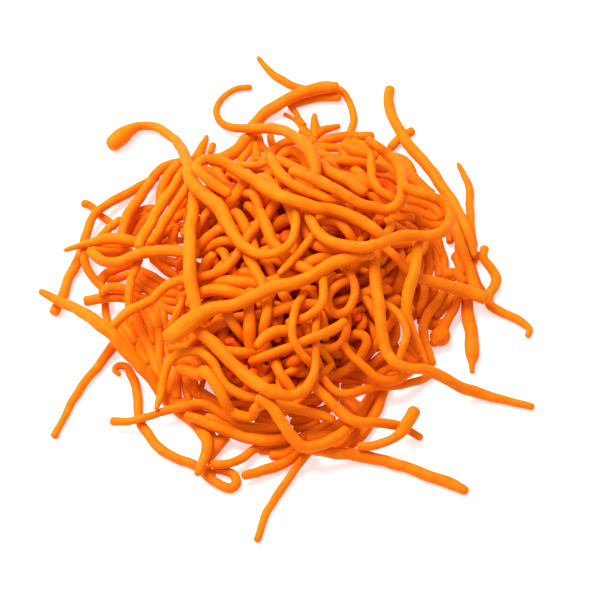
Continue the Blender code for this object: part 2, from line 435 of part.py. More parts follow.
def mound_mesh():
    """Vertices and triangles of the mound: rings from the outline in to the top, and a flat base."""
    outline = np.array(MOUND_OUTLINE)
    centre = np.array(MOUND_CENTRE)
    count = len(outline)
    vertices = []
    for share in MOUND_LEVELS:
        height = MOUND_HEIGHT * (1.0 - share**MOUND_FLANK) ** MOUND_ROUND
        ring = centre + (outline - centre) * share
        vertices.extend((x, y, height) for x, y in ring)
    vertices.append((*centre, MOUND_HEIGHT))
    vertices.append((*centre, 0.0))
    top = len(vertices) - 2
    base = len(vertices) - 1
    triangles = []
    for level in range(len(MOUND_LEVELS) - 1):
        for k in range(count):
            a = level * count + k
            b = level * count + (k + 1) % count
            triangles.append((a, b, b + count))
            triangles.append((a, b + count, a + count))
    last = (len(MOUND_LEVELS) - 1) * count
    for k in range(count):
        triangles.append((last + k, last + (k + 1) % count, top))
        triangles.append(((k + 1) % count, k, base))
    return np.array(vertices), triangles


def mound_cloud(vertices, triangles):
    """Points spread over the mound's upper surface, closer together than MOUND_SAMPLE."""
    points = []
    for a, b, c in triangles:
        corner = vertices[[a, b, c]]
        if corner[:, 2].max() <= 0.0:
            continue
        longest = max(np.linalg.norm(corner[i] - corner[i - 1]) for i in range(3))
        pieces = math.ceil(longest / MOUND_SAMPLE)
        for i in range(pieces + 1):
            for j in range(pieces + 1 - i):
                share = np.array((i, j, pieces - i - j)) / pieces
                points.append(share @ corner)
    return np.array(points)


def build_mound(vertices, triangles, shift, material):
    """The buried strands as one closed solid with a flat base."""
    bm = bmesh.new()
    corners = [bm.verts.new(Vector(v + shift) * MM) for v in vertices]
    for triangle in triangles:
        bm.faces.new([corners[i] for i in triangle])
    return add_object("inner_strand_pile", bm, material)


def main():
    """Lay every strand in turn, centre the bunch over its footprint and write the solids."""
    for obj in list(bpy.data.objects):
        bpy.data.objects.remove(obj, do_unlink=True)
    vertices, triangles = mound_mesh()
    laid = mound_cloud(vertices, triangles)
    laid_radius = np.zeros(len(laid))
    strands = []
    for name, points in STRANDS:
        stations = ring_stations(smooth_route(points))
        centres = lay_strand(stations, laid, laid_radius)
        radii = stations[:, 2] * 0.5
        _, _, point, radius = along_segments(centres, radii)
        laid = np.concatenate((laid, point))
        laid_radius = np.concatenate((laid_radius, radius))
        strands.append((name, centres, radii))
    everything = np.concatenate([centres for _, centres, _ in strands])
    margin = np.concatenate([radii for _, _, radii in strands])
    low = (everything[:, :2] - margin[:, None]).min(axis=0)
    high = (everything[:, :2] + margin[:, None]).max(axis=0)
    shift = np.array((*(-(low + high) * 0.5), 0.0))
    for k, (name, centres, radii) in enumerate(strands):
        warmth = 0.5 + 0.5 * math.sin(2.4 * k)
        green = FLESH_GREEN[0] + (FLESH_GREEN[1] - FLESH_GREEN[0]) * warmth
        material = flesh_material("flesh_" + name, (FLESH_RED, green, FLESH_BLUE))
        build_strand(name, centres, radii, shift, material)
    build_mound(vertices, triangles, shift, flesh_material("flesh_inner_strand_pile", MOUND_COLOUR))


main()
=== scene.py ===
"""Cordyceps bunch, drawn as an add-on: a heap of long, curly, orange fungus fruiting bodies on a pale floor.

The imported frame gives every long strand's line and thickness.  Each one is drawn again here as a fine,
slightly uneven tube with its own kind of end.  The mound in the middle is drawn as the short strands it
stands for: those that show between the long ones are laid one by one, from the top of the heap down,
and buried ones fill the space under them on every side.
Lengths are in millimetres until a mesh is written, in metres.
"""

import math

import bmesh
import bpy
import numpy as np
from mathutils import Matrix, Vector


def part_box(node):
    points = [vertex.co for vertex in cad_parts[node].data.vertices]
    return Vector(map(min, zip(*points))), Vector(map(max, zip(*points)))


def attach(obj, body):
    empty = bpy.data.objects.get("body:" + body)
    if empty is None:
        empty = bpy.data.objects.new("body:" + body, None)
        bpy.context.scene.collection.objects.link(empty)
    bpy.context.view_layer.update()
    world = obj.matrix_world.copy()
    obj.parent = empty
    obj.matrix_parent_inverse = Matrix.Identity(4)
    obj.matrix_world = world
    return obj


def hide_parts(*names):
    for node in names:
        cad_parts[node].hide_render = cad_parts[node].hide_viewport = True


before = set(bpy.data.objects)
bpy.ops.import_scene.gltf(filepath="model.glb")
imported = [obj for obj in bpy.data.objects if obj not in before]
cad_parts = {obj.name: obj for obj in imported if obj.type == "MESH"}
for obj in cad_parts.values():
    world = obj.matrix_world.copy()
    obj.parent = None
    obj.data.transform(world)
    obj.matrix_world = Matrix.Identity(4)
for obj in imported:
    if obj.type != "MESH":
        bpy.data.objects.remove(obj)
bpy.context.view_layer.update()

bl_info = {
    "name": "Cordyceps bunch",
    "version": (1, 0, 0),
    "blender": (4, 5, 0),
    "location": "View3D > Sidebar > Cordyceps",
    "description": "Draws a loose heap of curly orange cordyceps around its packed frame",
    "category": "Object",
}

MM = 0.001
PILE_NODE = "inner_strand_pile"

# The drafting plane of the routes leans back from the floor by this much, and the camera looks square to it.
PLANE_LEAN = math.radians(60.0)
LEAN_COS = math.cos(PLANE_LEAN)
LEAN_SIN = math.sin(PLANE_LEAN)
# The foot of the mound on its drafting plane, lowest x and y, before the bunch was centred on its footprint.
MOUND_FOOT = (-41.5, -46.0)

# Sides of a long strand's ring in the frame.
CAD_SIDES = 6

# What a fruiting body does along its length: slow lumps, long shallow furrows and a slight wander.
# Each wave has its length in mm, for the first two its turns round the strand, and its depth: a share of the
# radius for lumps and furrows, and mm for the wander.
LUMP_WAVES = ((23.0, 0, 0.022), (14.0, 1, 0.020), (9.0, 2, 0.016), (6.3, 1, 0.010), (17.0, 2, 0.022))
FURROW_WAVES = ((38.0, 3, 0.010), (29.0, 4, 0.010), (21.0, 5, 0.008), (33.0, 6, 0.007), (12.0, 3, 0.006))
WANDER_WAVES = ((31.0, 0.12), (17.0, 0.12), (9.5, 0.09), (5.7, 0.04))


def linear_rgb(code):
    """Linear red, green and blue of an sRGB hex colour such as "#FF8A1C"."""
    parts = [int(code[i : i + 2], 16) / 255.0 for i in (1, 3, 5)]
    return tuple(c / 12.92 if c <= 0.04045 else ((c + 0.055) / 1.055) ** 2.4 for c in parts)


# ---------------------------------------------------------------- lines of strands


CURVE_PARTS = 16
WELD_GAP = 0.01


def smooth_line(points):
    """A fine polyline through the given points, each a row of place and width: cubic Hermite pieces."""
    points = np.asarray(points, float)
    chord = np.maximum(np.linalg.norm(np.diff(points[:, :-1], axis=0), axis=1), 1e-6)
    at = np.concatenate(([0.0], np.cumsum(chord)))
    slope = np.gradient(points, at, axis=0)
    share = np.linspace(0.0, 1.0, CURVE_PARTS, endpoint=False)[:, None]
    fine = []
    for k, h in enumerate(chord):
        fine.append(
            (2 * share**3 - 3 * share**2 + 1) * points[k]
            + (share**3 - 2 * share**2 + share) * h * slope[k]
            + (3 * share**2 - 2 * share**3) * points[k + 1]
            + (share**3 - share**2) * h * slope[k + 1]
        )
    fine.append(points[-1:])
    return np.concatenate(fine)


def even_line(line, step):
    """The same line with its points a step apart."""
    along = arc_length(line[:, :-1])
    wanted = np.linspace(0.0, along[-1], max(4, round(along[-1] / step) + 1))
    return np.stack([np.interp(wanted, along, line[:, i]) for i in range(line.shape[1])], axis=1)


def arc_length(points):
    """Distance along a polyline at each of its points."""
    return np.concatenate(([0.0], np.cumsum(np.linalg.norm(np.diff(points, axis=0), axis=1))))


def frame_shift():
    """How far the frame's bunch was moved in x and y to centre it, in mm."""
    low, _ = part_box(PILE_NODE)
    return np.array((low.x / MM - MOUND_FOOT[0], low.y / MM - MOUND_FOOT[1], 0.0))


def cad_line(node):
    """Ring centres and widths of a long strand, read from its solid in the frame, end to end, in mm."""
    bm = bmesh.new()
    bm.from_mesh(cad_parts[node].data)
    bmesh.ops.remove_doubles(bm, verts=bm.verts[:], dist=WELD_GAP * MM)
    rings = None
    for pole in bm.verts:
        if len(pole.link_edges) != CAD_SIDES:
            continue
        levels = [[pole]]
        seen = {pole}
        while levels[-1]:
            around = []
            for vert in levels[-1]:
                for edge in vert.link_edges:
                    other = edge.other_vert(vert)
                    if other not in seen:
                        seen.add(other)
                        around.append(other)
            levels.append(around)
        levels.pop()
        if len(levels) > 4 and len(levels[-1]) == 1 and all(len(ring) == CAD_SIDES for ring in levels[1:-1]):
            rings = levels[1:-1]
            break
    if rings is None:
        raise RuntimeError(f"{node} isn't a tube of {CAD_SIDES}-sided rings")
    line = []
    for ring in rings:
        corners = np.array([vert.co for vert in ring]) / MM
        centre = corners.mean(axis=0)
        line.append((*centre, 2.0 * np.linalg.norm(corners - centre, axis=1).mean()))
    bm.free()
    return np.array(line)


# ---------------------------------------------------------------- tube meshes


def waves(table, along, around, seed):
    """A smooth made-up relief over a strand: a sum of waves, each (length in mm, turns round it, depth)."""
    phase = np.random.default_rng(seed).uniform(0.0, 2.0 * math.pi, (len(table), 2))
    total = np.zeros(np.broadcast(along, around).shape)
    for (length, turns, depth), (first, second) in zip(table, phase):
        total += depth * np.sin(2.0 * math.pi * along / length + first) * np.cos(turns * around + second)
    return total


def carried_axes(points):
    """Tangent, side and upper direction at each point, carried along without twist."""
    tangent = np.gradient(points, axis=0)
    tangent /= np.linalg.norm(tangent, axis=1)[:, None]
    start = np.cross(tangent[0], (0.0, 0.0, 1.0))
    if np.linalg.norm(start) < 0.1:
        start = np.cross(tangent[0], (1.0, 0.0, 0.0))
    side = [start / np.linalg.norm(start)]
    for direction in tangent[1:]:
        carried = side[-1] - direction * np.dot(side[-1], direction)
        side.append(carried / np.linalg.norm(carried))
    side = np.array(side)
    return tangent, side, np.cross(side, tangent)


UP_WANDER = 0.5
PATTERN_RANGE = 400.0


class TubeMesh:
    """Gathers strands into one mesh.

    Each vertex also gets its place on its straightened strand and the strand's tone, for the flesh."""

    def __init__(self):
        self.vertices = []
        self.faces = []
        self.straight = []
        self.tone = []
        self.count = 0

    def add_strand(self, line, sides, seed, ends=("round", "round"), lumps=1.0, furrows=1.0):
        """One strand along a line of even steps: rows of x, y, z and width."""
        centres = line[:, :3].copy()
        radii = line[:, 3] * 0.5
        along = arc_length(centres)
        tangent, side, upper = carried_axes(centres)
        random = np.random.default_rng(seed + 7)
        phase = random.uniform(0.0, 2.0 * math.pi, (len(WANDER_WAVES), 2))
        for (length, depth), (first, second) in zip(WANDER_WAVES, phase):
            fade = np.sqrt(np.clip(np.sin(math.pi * along / along[-1]), 0.0, 1.0))
            centres += side * (depth * fade * np.sin(2 * math.pi * along / length + first))[:, None]
            rise = UP_WANDER * depth * fade * np.sin(2 * math.pi * along / length + second)
            centres += upper * rise[:, None]
        whole = (centres, radii, along, tangent, side, upper)
        centres, radii, along, tangent, side, upper = capped(whole, ends)
        around = 2.0 * math.pi * np.arange(sides) / sides
        relief = 1.0 + lumps * waves(LUMP_WAVES, along[:, None], around[None, :], seed)
        relief += furrows * waves(FURROW_WAVES, along[:, None], around[None, :], seed + 1)
        reach = radii[:, None] * relief
        ring = (
            centres[:, None, :]
            + side[:, None, :] * (reach * np.cos(around))[:, :, None]
            + upper[:, None, :] * (reach * np.sin(around))[:, :, None]
        )
        offset = random.uniform(0.0, PATTERN_RANGE)
        straight = np.stack(
            (
                reach * np.cos(around),
                reach * np.sin(around),
                np.broadcast_to(along[:, None] + offset, reach.shape),
            ),
            axis=2,
        )
        rings = len(centres)
        base = self.count
        self.vertices.append(ring.reshape(-1, 3))
        self.straight.append(straight.reshape(-1, 3))
        index = base + np.arange(rings * sides).reshape(rings, sides)
        ahead = np.roll(index, -1, axis=1)
        quads = np.stack((index[:-1], ahead[:-1], ahead[1:], index[1:]), axis=2).reshape(-1, 4)
        self.faces.extend(quads[:, ::-1].tolist())
        self.faces.append(index[0].tolist())
        self.faces.append(index[-1][::-1].tolist())
        self.count += rings * sides
        self.tone.append(np.full(rings * sides, random.uniform(0.0, 1.0)))

    def build(self, name, shift=(0.0, 0.0, 0.0)):
        """Write the gathered strands as an object of the scene."""
        mesh = bpy.data.meshes.new(name)
        vertices = (np.concatenate(self.vertices) + np.asarray(shift)) * MM
        mesh.from_pydata(vertices.tolist(), [], self.faces)
        straight = mesh.attributes.new("straight", "FLOAT_VECTOR", "POINT")
        straight.data.foreach_set("vector", np.concatenate(self.straight).astype(np.float32).ravel())
        tone = mesh.attributes.new("tone", "FLOAT", "POINT")
        tone.data.foreach_set("value", np.concatenate(self.tone).astype(np.float32))
        mesh.polygons.foreach_set("use_smooth", np.ones(len(mesh.polygons), bool))
        mesh.update()
        piece = bpy.data.objects.new(name, mesh)
        bpy.context.scene.collection.objects.link(piece)
        return piece


# How a strand ends: share of its radius that the end reaches, and how blunt it is.
END_SHAPES = {"round": (0.85, 0.9), "blunt": (0.5, 0.55), "point": (2.0, 1.3)}
END_RINGS = 6
LAST_RING = 0.995
LEAST_RING = 0.06


def capped(whole, ends):
    """Close both ends of a strand with a few ever smaller rings."""
    centres, radii, along, tangent, side, upper = whole
    share = np.linspace(0.0, 1.0, END_RINGS + 1)[1:]
    share[-1] = LAST_RING
    parts = []
    for end, shape in ((0, ends[0]), (-1, ends[1])):
        reach, bluntness = END_SHAPES[shape]
        outward = tangent[end] * (-1.0 if end == 0 else 1.0)
        push = np.sin(share * math.pi / 2) * reach * radii[end]
        shrink = np.cos(share * math.pi / 2) ** bluntness
        shrink = np.maximum(shrink, LEAST_RING)
        extra = (
            centres[end] + outward * push[:, None],
            radii[end] * shrink,
            along[end] + push * (-1.0 if end == 0 else 1.0),
            np.repeat(tangent[end][None, :], END_RINGS, axis=0),
            np.repeat(side[end][None, :], END_RINGS, axis=0),
            np.repeat(upper[end][None, :], END_RINGS, axis=0),
        )
        parts.append(tuple(rows[::-1] if end == 0 else rows for rows in extra))
    return tuple(np.concatenate(rows) for rows in zip(parts[0], whole, parts[1]))

# ---------------------------------------------------------------- the short strands

# Each short strand that shows: its width, and its (x, v) points on the drafting plane; a third number is
# the width there.  They go under every long strand and under those listed before them, but for the ones in
# CROSSING.
UPPER_LEFT = (
    (3.0, (-16.5, 35.8), (-18.3, 33.0), (-20.2, 30.3), (-21.2, 28.3)),
    (2.2, (-24.5, 38.5), (-23.0, 36.0), (-20.5, 33.8), (-18.0, 32.5)),
    (2.6, (-18.0, 31.0), (-15.0, 31.0), (-12.5, 30.5), (-11.0, 29.5)),
    (2.6, (-18.8, 24.2), (-16.8, 26.3), (-14.5, 28.6)),
    (3.0, (-13.0, 30.0), (-12.3, 26.5), (-10.0, 23.5), (-7.0, 21.3), (-4.0, 20.0), (-1.0, 19.5), (1.0, 19.0),
     (4.0, 18.0), (6.5, 16.5)),
    (2.8, (-14.8, 16.9), (-12.0, 18.0), (-9.0, 18.5), (-6.0, 18.6), (-3.5, 17.8)),
    (2.4, (-17.5, 21.5), (-15.0, 23.0), (-12.0, 22.0), (-10.5, 20.0)),
    (2.2, (-10.5, 27.5), (-8.0, 25.5), (-6.5, 23.0)),
    (2.2, (-9.0, 28.5), (-6.0, 27.0), (-4.0, 24.5)),
    (2.2, (-7.0, 23.0), (-5.0, 24.5), (-3.5, 26.0)),
    (2.2, (-27.0, 27.0), (-29.0, 24.5), (-30.5, 21.8)),
    (2.2, (-24.5, 24.8), (-27.0, 22.3), (-29.5, 20.3)),
    (2.2, (-30.5, 18.8), (-27.0, 19.0), (-23.5, 20.0), (-21.0, 21.0)),
    (2.4, (-30.5, 16.8), (-27.0, 16.3), (-23.0, 15.0), (-20.5, 14.0)),
    (1.8, (-21.3, 18.0), (-20.7, 16.0), (-20.5, 14.0)),
    (2.2, (-29.0, 40.0), (-27.0, 38.6), (-25.0, 37.5)),
    (1.8, (-22.0, 37.2), (-20.0, 36.4)),
    (2.0, (-8.0, 26.8), (-4.5, 26.2)),
)

MIDDLE = (
    (3.2, (-30.0, 14.6, 2.4), (-28.0, 12.8, 2.8), (-25.0, 11.2), (-21.0, 10.8, 3.4), (-17.0, 11.4, 3.4),
     (-14.0, 12.2, 3.0)),
    (3.2, (-14.5, 10.2, 2.6), (-11.0, 9.9, 2.8), (-7.5, 10.2, 3.0), (-3.5, 11.6), (0.5, 13.4), (4.0, 15.0),
     (7.5, 16.3, 3.0)),
    (2.0, (-18.7, 9.3), (-17.0, 8.0), (-15.0, 5.8), (-13.3, 4.2)),
    (3.0, (-29.5, 2.8), (-26.5, 3.8), (-23.5, 5.0), (-20.5, 6.3), (-18.0, 8.0)),
    (2.4, (-20.0, 2.0), (-17.5, 4.5), (-15.5, 6.0)),
    (2.4, (-12.5, 5.2), (-11.5, 7.5), (-9.5, 9.0)),
    (2.6, (-8.0, 8.5), (-5.0, 7.5), (-3.0, 6.8)),
    (2.2, (-6.5, 9.3), (-3.5, 8.7), (0.0, 8.2)),
    (2.4, (0.5, 24.3), (1.5, 21.5), (2.5, 19.8)),
    (2.4, (0.5, 18.5), (3.0, 17.5), (5.0, 16.2)),
    (2.2, (-27.0, 8.5), (-24.0, 9.0), (-21.0, 8.5)),
    (2.6, (-28.0, 7.2), (-25.0, 6.5), (-21.0, 6.8)),
    (2.2, (-9.5, 2.2), (-6.5, 2.6), (-3.5, 2.0), (-1.0, 0.8)),
    (3.2, (-15.3, -2.5, 2.8), (-15.3, -6.0), (-15.0, -10.0, 3.4), (-14.4, -14.0, 3.4), (-13.5, -18.0, 3.4),
     (-12.5, -21.5), (-11.5, -23.5, 3.0)),
    (3.3, (-22.3, -3.5), (-22.3, -7.0), (-22.0, -10.5), (-21.0, -13.0)),
    (2.8, (-12.5, -10.3), (-10.0, -8.0), (-7.0, -5.3), (-4.0, -2.6), (-1.5, -0.6)),
    (2.3, (-8.3, -17.5), (-7.0, -19.8), (-4.0, -21.2), (0.0, -21.7), (3.3, -21.0)),
    (2.2, (-4.8, -26.2), (-3.0, -24.5), (-1.0, -23.3), (1.0, -22.9)),
    (1.8, (-2.0, -26.5), (0.0, -25.8), (1.5, -25.0)),
    (2.6, (-19.8, -3.5), (-19.0, -6.5), (-19.3, -10.5)),
    (2.6, (-27.0, -6.5), (-24.5, -8.8), (-23.0, -11.0)),
    (2.2, (-20.0, -13.2), (-16.5, -11.5)),
    (2.6, (-9.5, -9.5), (-6.0, -8.0), (-3.5, -7.0)),
    (2.0, (2.6, -7.0), (2.6, -10.0)),
    (3.0, (-13.0, -2.2), (-8.0, -2.0), (-4.0, -1.2)),
    (3.0, (-12.0, -13.5), (-8.0, -13.8), (-3.5, -12.0)),
    (3.4, (-12.5, -21.0), (-8.0, -22.5), (-5.0, -24.5)),
    (2.0, (-20.5, -10.0), (-18.0, -11.5)),
    (1.8, (-18.8, -17.2), (-16.5, -18.3)),
    (1.8, (-6.5, -17.0), (-3.5, -17.8)),
    (2.0, (-11.0, -18.5), (-8.8, -20.2)),
    (2.4, (1.5, -30.2), (5.5, -28.8)),
    (1.6, (-18.4, -3.2), (-17.0, -4.0)),
    (1.6, (-13.2, -7.0), (-11.4, -6.4)),
)

MIDDLE_RIGHT = (
    (2.4, (13.8, 9.0), (15.8, 6.0), (16.4, 2.5), (15.6, -1.0), (13.3, -3.6), (10.6, -4.2), (8.8, -2.3),
     (8.4, 0.5),
     (9.5, 3.0), (11.7, 5.0), (13.5, 5.6)),
    (2.4, (14.2, -4.5), (14.2, -7.5), (13.6, -10.5), (11.8, -13.2), (9.3, -14.6), (6.3, -14.3)),
    (2.6, (6.5, -22.2), (10.0, -22.5), (13.5, -21.3), (16.5, -18.7), (18.8, -15.3), (19.7, -12.0),
     (18.2, -10.3),
     (15.0, -10.6)),
    (2.0, (8.0, 5.8), (11.0, 6.7), (13.0, 7.2)),
    (1.8, (8.0, -23.0), (11.0, -23.6), (15.0, -24.6), (19.0, -24.8)),
    (2.4, (17.3, 2.3), (19.5, 0.3), (21.5, -1.8), (22.5, -4.0)),
    (2.2, (20.5, 7.2), (18.8, 5.8), (17.2, 4.8)),
    (2.0, (15.5, -4.0), (18.0, -3.0), (20.5, -1.3)),
    (2.0, (16.0, -4.8), (19.0, -4.3), (21.5, -3.5)),
    (2.6, (15.3, -7.5), (18.5, -7.7), (22.0, -7.7)),
    (2.4, (20.8, -19.8), (23.5, -17.3), (25.2, -16.0)),
    (2.6, (24.0, -22.0), (27.0, -20.3), (29.5, -20.5)),
    (2.0, (11.0, -0.5), (13.0, 0.2)),
    (3.0, (6.5, -6.0), (7.0, -9.0)),
    (3.0, (8.0, -15.5), (8.0, -18.5), (7.8, -21.0)),
    (2.8, (14.2, -22.0), (17.5, -22.8), (22.0, -25.0)),
    (1.8, (13.0, -25.8), (17.5, -26.3)),
    (1.8, (22.3, -20.8), (26.0, -18.2)),
    (1.6, (26.3, -22.6), (30.0, -21.4)),
    (2.8, (31.0, -16.5), (34.5, -18.6)),
    (2.0, (27.8, -17.0), (29.2, -14.8)),
    (1.6, (16.0, -15.0), (17.5, -12.0)),
    (2.2, (27.0, -10.0), (28.0, -12.7)),
)

UPPER_RIGHT = (
    (2.6, (30.8, 27.6), (33.0, 26.5), (35.0, 24.4), (37.5, 22.7), (40.5, 22.1), (43.0, 22.6)),
    (2.6, (7.0, 23.5), (10.5, 23.5), (13.5, 21.5), (15.3, 18.8)),
    (2.2, (14.0, 23.5), (17.0, 20.5), (18.0, 18.5)),
    (2.4, (19.0, 22.5), (19.0, 20.0), (18.8, 18.0)),
    (2.6, (22.0, 24.0), (26.5, 23.3), (30.0, 21.2)),
    (2.4, (29.5, 25.0), (31.5, 23.0), (33.5, 21.5)),
    (2.2, (33.0, 29.5), (36.5, 29.0), (38.8, 27.0), (39.3, 24.8)),
    (2.6, (28.7, 43.0), (31.2, 42.0), (33.0, 40.0), (33.7, 38.3)),
    (3.7, (31.7, 38.6), (34.2, 36.1), (37.2, 33.1), (39.7, 31.1)),
    (2.4, (24.0, 41.5), (26.5, 40.0), (28.3, 38.5)),
    (2.4, (22.5, 44.0), (27.5, 41.0)),
    (2.4, (23.0, 38.0), (28.5, 36.0)),
    (3.0, (37.0, 28.8), (40.5, 27.5), (42.5, 25.0)),
    (2.4, (33.5, 28.2), (37.0, 26.0), (41.0, 24.3)),
    (2.2, (33.5, 23.2), (36.5, 21.5)),
    (2.4, (32.5, 31.0), (38.0, 29.5)),
)

RIGHT = (
    (2.6, (30.5, 7.5), (29.3, 4.2), (27.2, 1.4), (25.3, -0.6)),
    (2.2, (38.7, 16.8), (40.3, 14.0), (41.4, 10.8), (41.8, 7.5)),
    (2.2, (41.8, 17.5), (42.8, 13.8), (43.3, 10.2), (43.3, 7.0)),
    (2.4, (37.3, 3.5), (37.0, 0.0), (36.0, -3.0)),
    (3.2, (38.0, 14.0), (38.3, 10.5), (38.0, 8.5)),
    (2.2, (47.6, 16.0), (47.9, 12.0), (48.0, 8.0), (48.2, 5.5)),
    (2.0, (53.6, 13.5), (52.1, 11.0), (52.5, 7.5), (53.7, 4.0), (55.3, 2.3)),
    (2.2, (31.0, -13.0), (33.5, -15.5), (35.5, -17.8)),
    (3.4, (46.5, 1.2), (43.5, -1.5), (40.5, -4.3)),
    (2.8, (40.3, 3.5), (39.3, 1.0), (38.3, -2.0)),
    (2.2, (45.0, 20.5), (45.0, 17.8)),
    (2.2, (39.8, 17.5), (42.3, 13.5)),
    (2.2, (40.0, 11.0), (43.0, 8.8), (46.0, 6.5)),
    (1.8, (35.0, -4.0), (36.0, -6.5)),
    (2.2, (33.0, -12.0), (35.5, -15.5)),
    (2.0, (26.0, 9.0), (28.0, 11.0)),
    (1.6, (36.5, -18.3), (38.0, -19.3)),
)

FRONT = (
    (2.7, (0.5, -41.2), (3.0, -40.0), (6.0, -38.8), (8.0, -37.0), (9.0, -35.5)),
    (2.2, (-2.0, -36.5), (1.0, -36.0), (4.0, -35.2)),
    (2.2, (-1.0, -38.5), (2.0, -38.0), (5.0, -36.5)),
    (3.0, (12.0, -37.0), (11.0, -39.0), (8.5, -40.8)),
    (3.0, (22.3, -27.5), (19.8, -31.0), (17.8, -34.5)),
    (2.6, (13.0, -30.0), (16.0, -32.0), (18.0, -34.5)),
    (2.0, (-20.0, -30.8), (-16.0, -31.0), (-12.0, -31.2)),
    (1.5, (-13.0, -37.0), (-8.0, -36.3)),
    (3.4, (-22.7, -41.0), (-25.7, -44.3), (-28.5, -47.8)),
    (3.0, (18.0, -38.5), (14.5, -41.6), (10.0, -43.6)),
    (2.8, (-1.5, -44.4), (-5.0, -46.2), (-8.0, -46.3)),
    (2.0, (-2.0, -43.9), (-6.0, -45.0), (-11.5, -45.2)),
    (1.4, (22.2, -30.5), (20.2, -35.0)),
    (1.6, (13.0, -32.0), (15.6, -34.0)),
    (1.6, (15.8, -29.6), (18.0, -31.2)),
    (1.6, (8.2, -38.8), (10.3, -37.4)),
    (2.4, (-13.0, -35.0), (-10.5, -36.0), (-7.8, -36.8)),
    (1.6, (-19.5, -32.5), (-15.5, -33.2)),
    (1.6, (-20.5, -29.3), (-17.5, -29.9)),
    (2.0, (-34.5, -33.0), (-28.0, -34.2), (-20.0, -38.0)),
    (3.0, (-29.0, -38.8), (-26.8, -40.6), (-25.2, -43.0)),
    (1.8, (-28.3, -50.2), (-26.0, -52.2)),
    (1.4, (-9.5, -40.3), (-6.0, -39.8)),
)

LEFT = (
    (2.6, (-43.8, 16.8), (-42.0, 19.0), (-39.0, 21.0), (-36.0, 22.0), (-33.0, 22.3)),
    (2.5, (-52.0, 24.3), (-50.0, 25.9), (-47.0, 26.9), (-43.5, 27.5), (-41.5, 27.8)),
    (2.2, (-49.8, 19.3), (-48.5, 22.0), (-46.3, 24.5), (-43.8, 26.0)),
    (2.2, (-61.0, 15.2), (-58.0, 14.5), (-54.0, 14.3), (-51.0, 14.6)),
    (2.8, (-60.0, 5.5), (-57.5, 8.0), (-53.5, 10.0), (-50.5, 11.3)),
    (2.2, (-57.0, 6.0), (-54.0, 6.8), (-52.0, 7.5)),
    (2.6, (-44.0, 12.3), (-40.3, 9.3), (-37.0, 7.2)),
    (2.6, (-41.5, 11.8), (-37.0, 11.0), (-34.0, 10.3)),
    (2.5, (-48.5, 9.0), (-45.0, 7.5), (-41.5, 5.2), (-38.5, 4.0)),
    (2.3, (-49.0, 5.5), (-46.5, 3.2), (-43.5, 1.3)),
    (2.2, (-50.0, 1.8), (-47.5, 0.8), (-45.0, 0.2)),
    (2.6, (-39.0, 1.8), (-36.0, 1.6), (-33.5, 1.0)),
    (2.2, (-40.0, -0.3), (-37.0, -0.9), (-34.0, -1.3)),
    (2.4, (-42.0, -0.3), (-41.0, -1.9), (-38.5, -3.2), (-35.5, -3.9), (-33.5, -4.2)),
    (3.0, (-49.3, -3.8), (-48.2, -8.0), (-46.2, -12.5), (-44.3, -17.0), (-42.8, -21.5), (-42.2, -24.5)),
    (2.7, (-43.0, -3.0), (-42.5, -7.0), (-42.3, -11.0), (-42.3, -15.0), (-42.3, -19.0), (-41.9, -22.5)),
    (2.2, (-46.0, -1.5), (-44.0, -3.5), (-42.5, -6.0)),
    (2.5, (-47.4, -11.8), (-48.2, -14.0), (-46.8, -16.8), (-45.3, -19.5)),
    (2.2, (-55.3, -8.3), (-53.5, -6.5), (-51.8, -6.8), (-51.0, -9.0), (-49.3, -12.5)),
    (2.4, (-38.5, -14.6), (-35.0, -14.0), (-31.0, -14.0), (-28.0, -15.0), (-26.2, -17.0)),
    (2.8, (-37.3, -18.6), (-34.0, -18.0), (-31.0, -19.0), (-28.5, -21.0), (-26.5, -23.5)),
    (2.4, (-34.3, -22.5), (-34.0, -26.0), (-33.3, -30.0)),
    (2.0, (-31.5, -24.0), (-31.0, -27.0), (-30.0, -30.0)),
    (2.4, (-39.5, -28.0), (-36.5, -30.0), (-34.0, -31.0)),
    (4.0, (-37.5, -22.0), (-37.5, -29.0)),
    (2.6, (-22.5, -19.5), (-20.5, -22.8), (-18.0, -24.3), (-16.0, -24.8)),
    (2.2, (-20.5, -25.8), (-17.0, -26.5), (-15.0, -27.0)),
    (2.5, (-52.0, 20.5), (-50.0, 24.0), (-46.0, 26.3)),
    (2.4, (-39.5, 29.5), (-37.0, 33.3), (-35.0, 36.5)),
    (2.6, (-39.0, 23.0), (-37.0, 24.4), (-34.5, 26.0)),
    (1.8, (-42.0, 17.3), (-36.5, 17.8)),
    (2.0, (-60.0, 16.4), (-56.0, 16.0), (-51.0, 15.8)),
    (1.4, (-60.5, 13.8), (-55.0, 12.9)),
    (2.6, (-49.0, 7.2), (-46.0, 5.4), (-43.0, 3.6)),
    (1.8, (-50.0, 3.6), (-48.0, 2.6)),
    (1.4, (-50.4, 0.3), (-49.2, -0.6)),
    (1.4, (-56.0, 2.2), (-53.0, 2.1)),
    (2.0, (-38.5, 3.7), (-36.0, 3.6)),
    (1.8, (-41.5, 0.6), (-40.0, 1.8)),
    (2.6, (-48.0, -3.0), (-45.4, -6.5), (-44.3, -12.5)),
    (2.2, (-46.5, -4.0), (-44.3, -8.0)),
    (2.4, (-41.0, -4.0), (-40.3, -8.5)),
    (1.8, (-40.4, -13.0), (-39.6, -17.6)),
    (1.8, (-54.3, -8.6), (-51.7, -12.3), (-49.4, -16.0)),
    (1.4, (-52.3, -4.9), (-50.3, -6.8)),
    (1.6, (-29.2, -24.6), (-29.6, -27.0), (-28.8, -29.6)),
    (1.4, (-51.6, 9.6), (-50.6, 10.6)),
)

